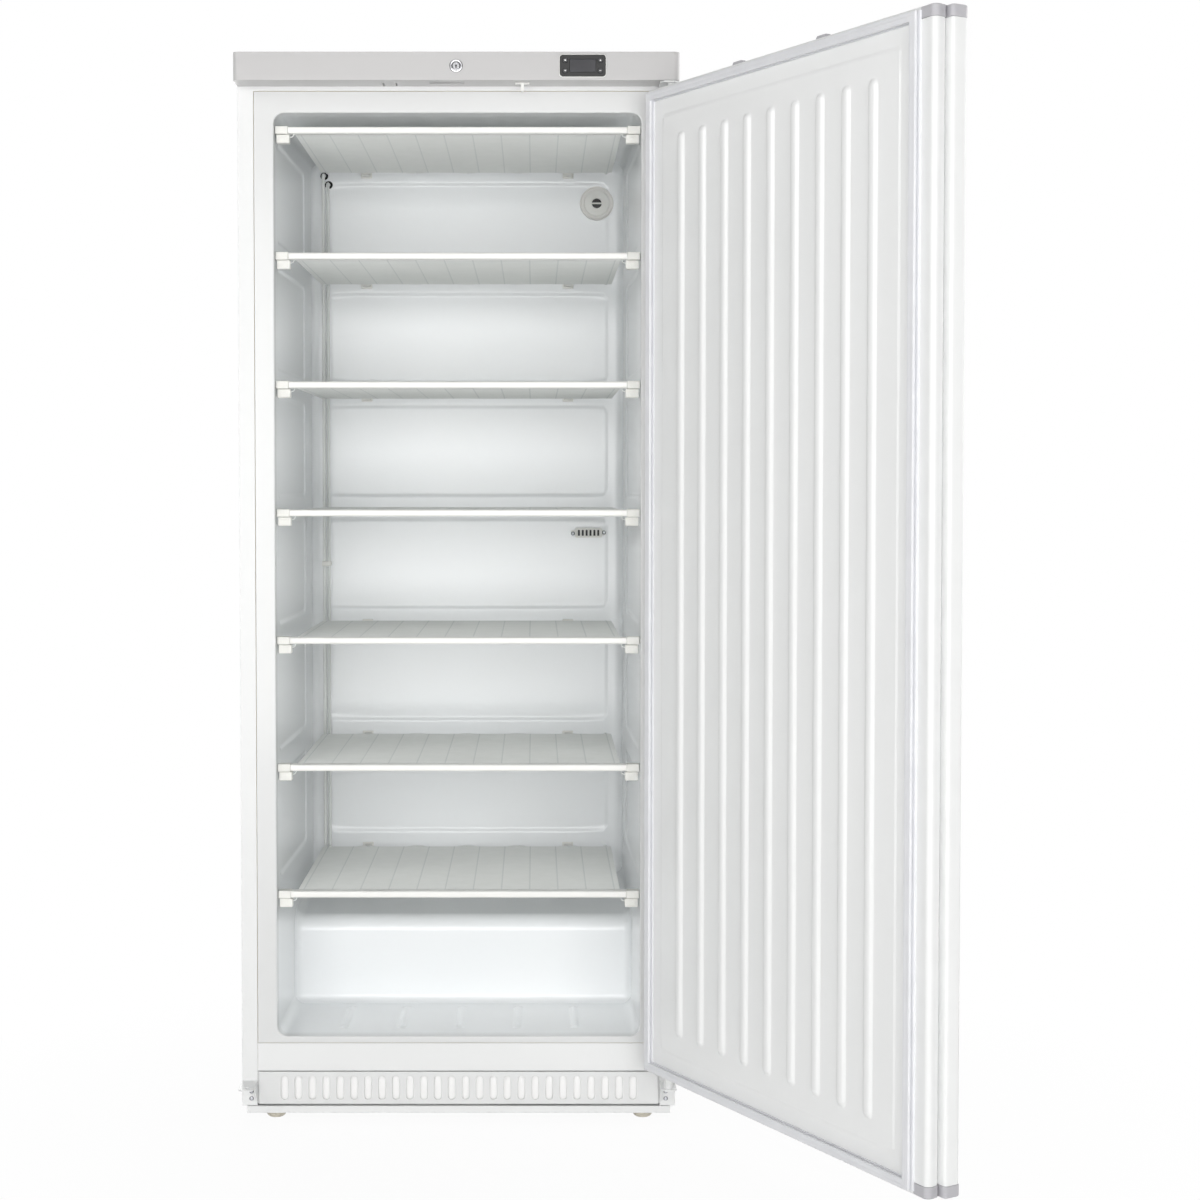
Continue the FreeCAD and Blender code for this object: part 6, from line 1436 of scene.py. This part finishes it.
# %% Vent and probe cover
VENT = Vector((262, 543.8, 1713))
VENT_RING = [(25.5, 8.6), (25.5, 4.5), (30.4, 4.5), (31.1, 4.1), (31.4, 3.2), (31.7, 2.4), (32.4, 2),
             (33.2, 2.1), (33.8, 2.6), (34, 3.4), (34, 8.6), (25.5, 8.6)]
VENT_DISC = [(10, 8.4), (10, 1), (10.3, 0.45), (10.9, 0.1), (12, 0), (17, 0.1), (22, 0.35), (24.6, 0.8),
             (25.6, 1.5), (26, 2.4), (26, 8.4), (10, 8.4)]
settle("vent_ring", add_turned(bmesh.new(), VENT_RING, VENT, "y", 56), vent_abs, "cabinet", ["rear_vent"])
disc = add_turned(bmesh.new(), VENT_DISC, VENT, "y", 56)
add_block(disc, (VENT.x - 10.3, VENT.x + 10.3), (545.2, 548), (VENT.z - 1.5, VENT.z + 1.5), 0.8)
settle("vent_disc", disc, clip_nylon, "cabinet")
# A thin black disc behind the vent's hole: painted shade for the dark hole.
vent_hole_shade = add_turned(bmesh.new(), rounded_profile(1.2, 10.2, 0.2), (VENT.x, 550.8, VENT.z), "y", 40)
settle("vent_duct", vent_hole_shade, black_abs, "cabinet")

COVER_X, COVER_Z, COVER_SLOT_PITCH = 246.0, 1046.0, 7.86
slots = [rounded_box(2, 6, 1.2, COVER_X + COVER_SLOT_PITCH * (index - 2.5), COVER_Z, 3) for index in range(6)]
cover_rim = rounded_box(27.5, 10, 3.5, COVER_X, COVER_Z)
cover = open_plate([cover_rim] + slots, 538.5, 2)
join(cover, open_plate([cover_rim, rounded_box(25.5, 8, 2, COVER_X, COVER_Z)], 540.4, 11.1))
for side in (-1, 1):
    ear = sorted((COVER_X + side * 27, COVER_X + side * 35.4))
    add_block(cover, ear, (550, 551.5), (COVER_Z - 5, COVER_Z + 5), 0.5)
settle_eased("probe_cover_box", cover, clip_nylon, "cabinet", ["probe_cover"], 0.5)
# A dark block behind the cover's slots: painted shadow inside the cover.
shadow = add_block(bmesh.new(), (COVER_X - 25.4, COVER_X + 25.4), (549.4, 551.4),
                   (COVER_Z - 7.9, COVER_Z + 7.9), 0.3)
settle("probe_cover_back", shadow, dark_grey_abs, "cabinet")
print("vent and cover at", VENT[:], (COVER_X, COVER_Z))

# %% [markdown]
# **Feet and rollers.** A foot is a nylon bowl on a zinc stud, and the stud's thread is a real helix:
# the radius follows the turn and the height together. The rollers at the back have a tread with
# rounded shoulders and a raised hub that runs on the axle.

# %% Feet, studs and rollers
FOOT_PROFILE = [(0, 0), (12.4, 0), (13.3, 0.2), (14.8, 1.2), (16.6, 3.4), (17.6, 6.4), (18, 9.4), (18, 11.4),
                (17.6, 12.5), (16.6, 13), (7, 13), (5.2, 12.6), (0, 12.6)]
ROLLER_PROFILE = [(3.1, 0), (6, 0), (6.5, 0.9), (9.2, 0.9), (9.7, 0), (11.6, 0), (12.6, 0.8), (13, 2.2),
                  (13, 19.8), (12.6, 21.2), (11.6, 22), (9.7, 22), (9.2, 21.1), (6.5, 21.1), (6, 22),
                  (3.1, 22), (3.1, 0)]


FOOT_X, FOOT_Y, ROLLER_Y, ROLLER_RADIUS, ROLLER_HALF = 332, 40, 575, 13, 11


def add_thread(shape, radius, depth, pitch, low, high, x, y):
    """A threaded stud whose crest climbs as a helix."""
    steps = 20
    rings = []
    rows = round((high - low) / pitch * 4)
    for row in range(rows + 1):
        z = low + (high - low) * row / rows
        ring = []
        for step in range(steps):
            turn = (z - low) / pitch + step / steps
            reach = radius - depth * abs(2 * (turn % 1) - 1)
            angle = 2 * math.pi * step / steps
            ring.append(Vector((x + reach * math.cos(angle), y + reach * math.sin(angle), z)))
        rings.append(ring)
    made = add_rings(bmesh.new(), rings, cap_start=True, cap_end=True)
    bmesh.ops.recalc_face_normals(made, faces=made.faces)
    return join(shape, made)


for name, side in (("left", -1), ("right", 1)):
    foot, roller = f"front_foot_{name}", f"rear_roller_{name}"
    bowl = add_turned(bmesh.new(), FOOT_PROFILE, (FOOT_X * side, FOOT_Y, 0), "z", 44)
    settle(f"foot_bowl_{name}", bowl, foot_nylon, foot, [foot])
    stud = add_thread(bmesh.new(), 5.0, 0.6, 1.5, 12.4, 60, FOOT_X * side, FOOT_Y)
    settle(f"foot_stud_{name}", stud, zinc, foot, sharp=40)
    hub = (FOOT_X * side - ROLLER_HALF, ROLLER_Y, ROLLER_RADIUS)
    tread = add_turned(bmesh.new(), ROLLER_PROFILE, hub, "x", 40)
    settle(f"roller_tread_{name}", tread, black_rubber, roller, [roller])
print("feet and rollers:", 4)

# %% [markdown]
# **Hinge bushes and clip springs.** Two acetal bushes line the door's bores. A little spring of
# bent wire reaches from each front clip's lower block to the shelf's outer tube.

# %% Bushes and clip springs
def bush(start, flange_start):
    """A flanged sleeve round the hinge axis."""
    x, y = HINGE.x, HINGE.y
    sleeve = [(5.06, 0), (7.6, 0), (8.05, 0.5), (8.05, 21.5), (7.6, 22), (5.06, 22), (5.06, 0)]
    flange = [(7.9, 0), (10, 0), (10.5, 0.5), (10.5, 1.5), (10, 2), (7.9, 2), (7.9, 0)]
    shape = add_turned(bmesh.new(), sleeve, (x, y, start), "z", 32)
    return add_turned(shape, flange, (x, y, flange_start), "z", 32)


bushes = join(bush(DOOR_FOOT, DOOR_FOOT - 2), bush(DOOR_HEAD - 22, DOOR_HEAD))
settle("hinge_bush_pair", bushes, white_abs, "door", ["door_hinge_bushes"], place=DOOR)
SPRING = [(299.5, 20, -13), (293, 19, -11), (290.5, 19.5, -5.2), (286, 22, -4.6), (281, 26, -5)]
springs = bmesh.new()
for height in SHELF_HEIGHTS:
    for side in (-1, 1):
        bend = [(side * x, y, z) for x, y, z in SPRING]
        sizes = {"Bend radius": 2.0, "Tube radius": 0.7}
        wire = grow("spring", line_drawing("spring", [bend]), BENT_TUBE, sizes, zinc)
        wire.transform(Matrix.Translation((0, 0, height)))
        springs.from_mesh(wire)
        bpy.data.meshes.remove(wire)
settle("clip_springs", springs, tube_enamel, "cabinet")
print("springs:", 2 * len(SHELF_HEIGHTS))

# %% [markdown]
# **The machine bay and the back.** These pieces show from behind and from below. The compressor is
# two deep-drawn half shells welded at a flange; the condenser is the same wire-on-tube form as a
# shelf, stood upright, so it grows from the same tree with other sizes.

# %% Compressor, mounts and condenser
def half_shell(low, high, middle, radius, at_top):
    """The rounded end of a pressed shell, as radius and height pairs."""
    if at_top:
        return [(radius * math.cos(a), middle + (high - middle) * math.sin(a)) for a in quarter_turn(9)]
    return [(radius * math.sin(a), middle - (middle - low) * math.cos(a)) for a in quarter_turn(9)]


PUMP_X, PUMP_Y, PIPE_Z, SUCTION_END = 170, 465, 125.1, 346.8
shell = half_shell(46.6, 214.5, 84, 76.8, False) + [(76.8, 124), (78, 125), (78, 130), (77.2, 131.5)]
shell += half_shell(46.6, 214.5, 176, 76.4, True)
pump = add_turned(bmesh.new(), shell, (PUMP_X, PUMP_Y, 0), "z", 56)
add_block(pump, (PUMP_X - 105, PUMP_X + 105), (PUMP_Y - 65, PUMP_Y + 65), (43.5, 46.8), 1.2, 2)
add_block(pump, (70, 112), (PUMP_Y - 30, PUMP_Y + 30), (93.5, 153.5), 5)
for strap in (PUMP_Y - 18, PUMP_Y + 18):
    add_block(pump, (69.2, 100), (strap - 2, strap + 2), (92.8, 154.2), 0.9)
settle("compressor_shells", pump, black_enamel, "cabinet", ["compressor"])
MOUNT = [(0, 0), (10.4, 0), (11, 0.7), (11, 3.4), (9.2, 5), (9.2, 8.6), (11, 10.2), (11, 13.2), (10.4, 14),
         (0, 14)]
mounts = bmesh.new()
for x in (PUMP_X - 90, PUMP_X + 90):
    for y in (PUMP_Y - 50, PUMP_Y + 50):
        add_turned(mounts, MOUNT, (x, y, 29.5), "z", 24)
settle("mount_grommets", mounts, black_rubber, "cabinet", ["compressor_mounts"])

GRID_MIDDLE, GRID_Y, GRID_PITCH = 1005, 624, 90
levels = [420 + GRID_PITCH * run - GRID_MIDDLE for run in range(14)]
path = serpentine(levels, -290, 290, 245, GRID_Y)
grid = grow("condenser", line_drawing("condenser_path", [path]), WIRE_SHELF, {
    "Bend radius": GRID_PITCH / 2, "Tube radius": 2.5, "Wire radius": 0.8, "Wire spacing": 11.5,
    "First wire": -287.5, "Half wire": 605.0, "Number of wires": 51, "Height": float(GRID_Y)}, black_enamel)
stand_up = Matrix(((0, 1, 0, 0), (0, 0, 1, 0), (1, 0, 0, GRID_MIDDLE), (0, 0, 0, 1)))
grid.transform(CABINET @ stand_up)
carry("condenser_grid", grid, black_enamel, "cabinet", ["condenser"])
brackets = bmesh.new()
for x in (-145, 145):
    for z in (600, 1410):
        add_block(brackets, (x - 7, x + 7), (610, 621.4), (z - 5, z + 5), 1)
        add_block(brackets, (x - 7, x + 7), (619, 627.8), (z + 2.6, z + 4.4), 0.6)
settle("condenser_brackets", brackets, black_enamel, "cabinet")
print("condenser faces:", len(grid.polygons))

# %% Pipes, drier and gland
discharge = [(248.2, PUMP_Y, PIPE_Z), (278.2, PUMP_Y, PIPE_Z), (278.2, GRID_Y, PIPE_Z),
             (278.2, GRID_Y, 420), (245, GRID_Y, 420)]
bent_tube("discharge_pipe", discharge, 2.4, 9.6, copper, "cabinet", ["refrigerant_pipes"])
suction = [(PUMP_X, 388.5, PIPE_Z), (PUMP_X, SUCTION_END, PIPE_Z), (PUMP_X, SUCTION_END, 283.6)]
bent_tube("suction_pipe", suction, 4.0, 16.0, copper, "cabinet")
DRIER = [(0, 0), (2.6, 0), (3, 0.5), (3, 19.5), (3.8, 21), (6.6, 22.6), (9, 24.4), (10, 27), (10, 44),
         (9.3, 45.2), (9.3, 46.8), (10, 48), (10, 102), (9.3, 103.2), (9.3, 104.8), (10, 106), (10, 123),
         (9, 125.6), (6.6, 127.4), (3.8, 129), (3, 130.5), (3, 149.5), (2.6, 150), (0, 150)]
drier = add_turned(bmesh.new(), DRIER, (-17.2, 366, 29.8), "z", 32)
settle("drier_body", drier, copper, "cabinet", ["filter_drier"])
GLAND_COLLAR = [(4.6, 0), (11.6, 0), (12, 0.5), (12, 3.6), (11.6, 4), (4.6, 4), (4.6, 0)]
GLAND_SLEEVE = [(4.5, 3.5), (9, 3.5), (9, 9), (8.6, 9.4), (8.6, 10.2), (9, 10.6), (9, 13), (8, 15.2),
                (6.2, 16), (5, 16), (4.5, 15.4), (4.5, 3.5)]
GLAND = (-318.5, 610, 47)
gland = add_turned(bmesh.new(), GLAND_COLLAR, GLAND, "y", 6)
add_turned(gland, GLAND_SLEEVE, GLAND, "y", 32)
settle("gland_nut", gland, black_abs, "cabinet", ["cable_gland"])
print("machine bay pieces done")

# %% [markdown]
# **Filter sheet.** In the photograph the grille's slots are as white as the plate. A pale sheet of
# filter fleece lies close behind the slots, as it does on kitchen freezers, and bounces the light.

# %% Filter sheet behind the grille
WAVES, FLEECE_HALF = 96, 356
front_row = [Vector((2 * FLEECE_HALF * i / WAVES - FLEECE_HALF, 1.9 + 0.35 * math.sin(i * 1.7), 0))
             for i in range(WAVES + 1)]
rows = [[point + Vector((0, 0, z)) for point in front_row] for z in (35.8, 50, 62, 74, 88.2)]
fleece_sheet = add_rings(bmesh.new(), rows, closed=False)
face_towards(fleece_sheet, (0, 0, 62), (0, -1, 0))
settle("grille_filter_sheet", fleece_sheet, filter_fleece, "cabinet", sharp=60,
       wall=1.2)
print("filter sheet behind", SLOTS, "slots")

# %% [markdown]
# The foam inside the walls keeps its own shape and only takes its finish. Then how far the model's
# high corner has grown past the CAD model's is printed.

# %% Finishes for the nodes that stay
NODE_FINISHES = {"cabinet_insulation": foam, "door_insulation": foam}
replaced = {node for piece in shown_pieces() if "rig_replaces" in piece for node in piece["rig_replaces"]}
for name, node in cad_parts.items():
    if name not in replaced:
        node.data.materials.clear()
        node.data.materials.append(NODE_FINISHES[name])
print("nodes kept:", len(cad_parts) - len(replaced), "replaced:", len(replaced))

# %% Sizes before and after
final_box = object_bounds()
growth = [round((a - b) / MM, 1) for a, b in zip(final_box[1], CAD_BOX[1])]
print("grown by", growth, "mm at the high corner")
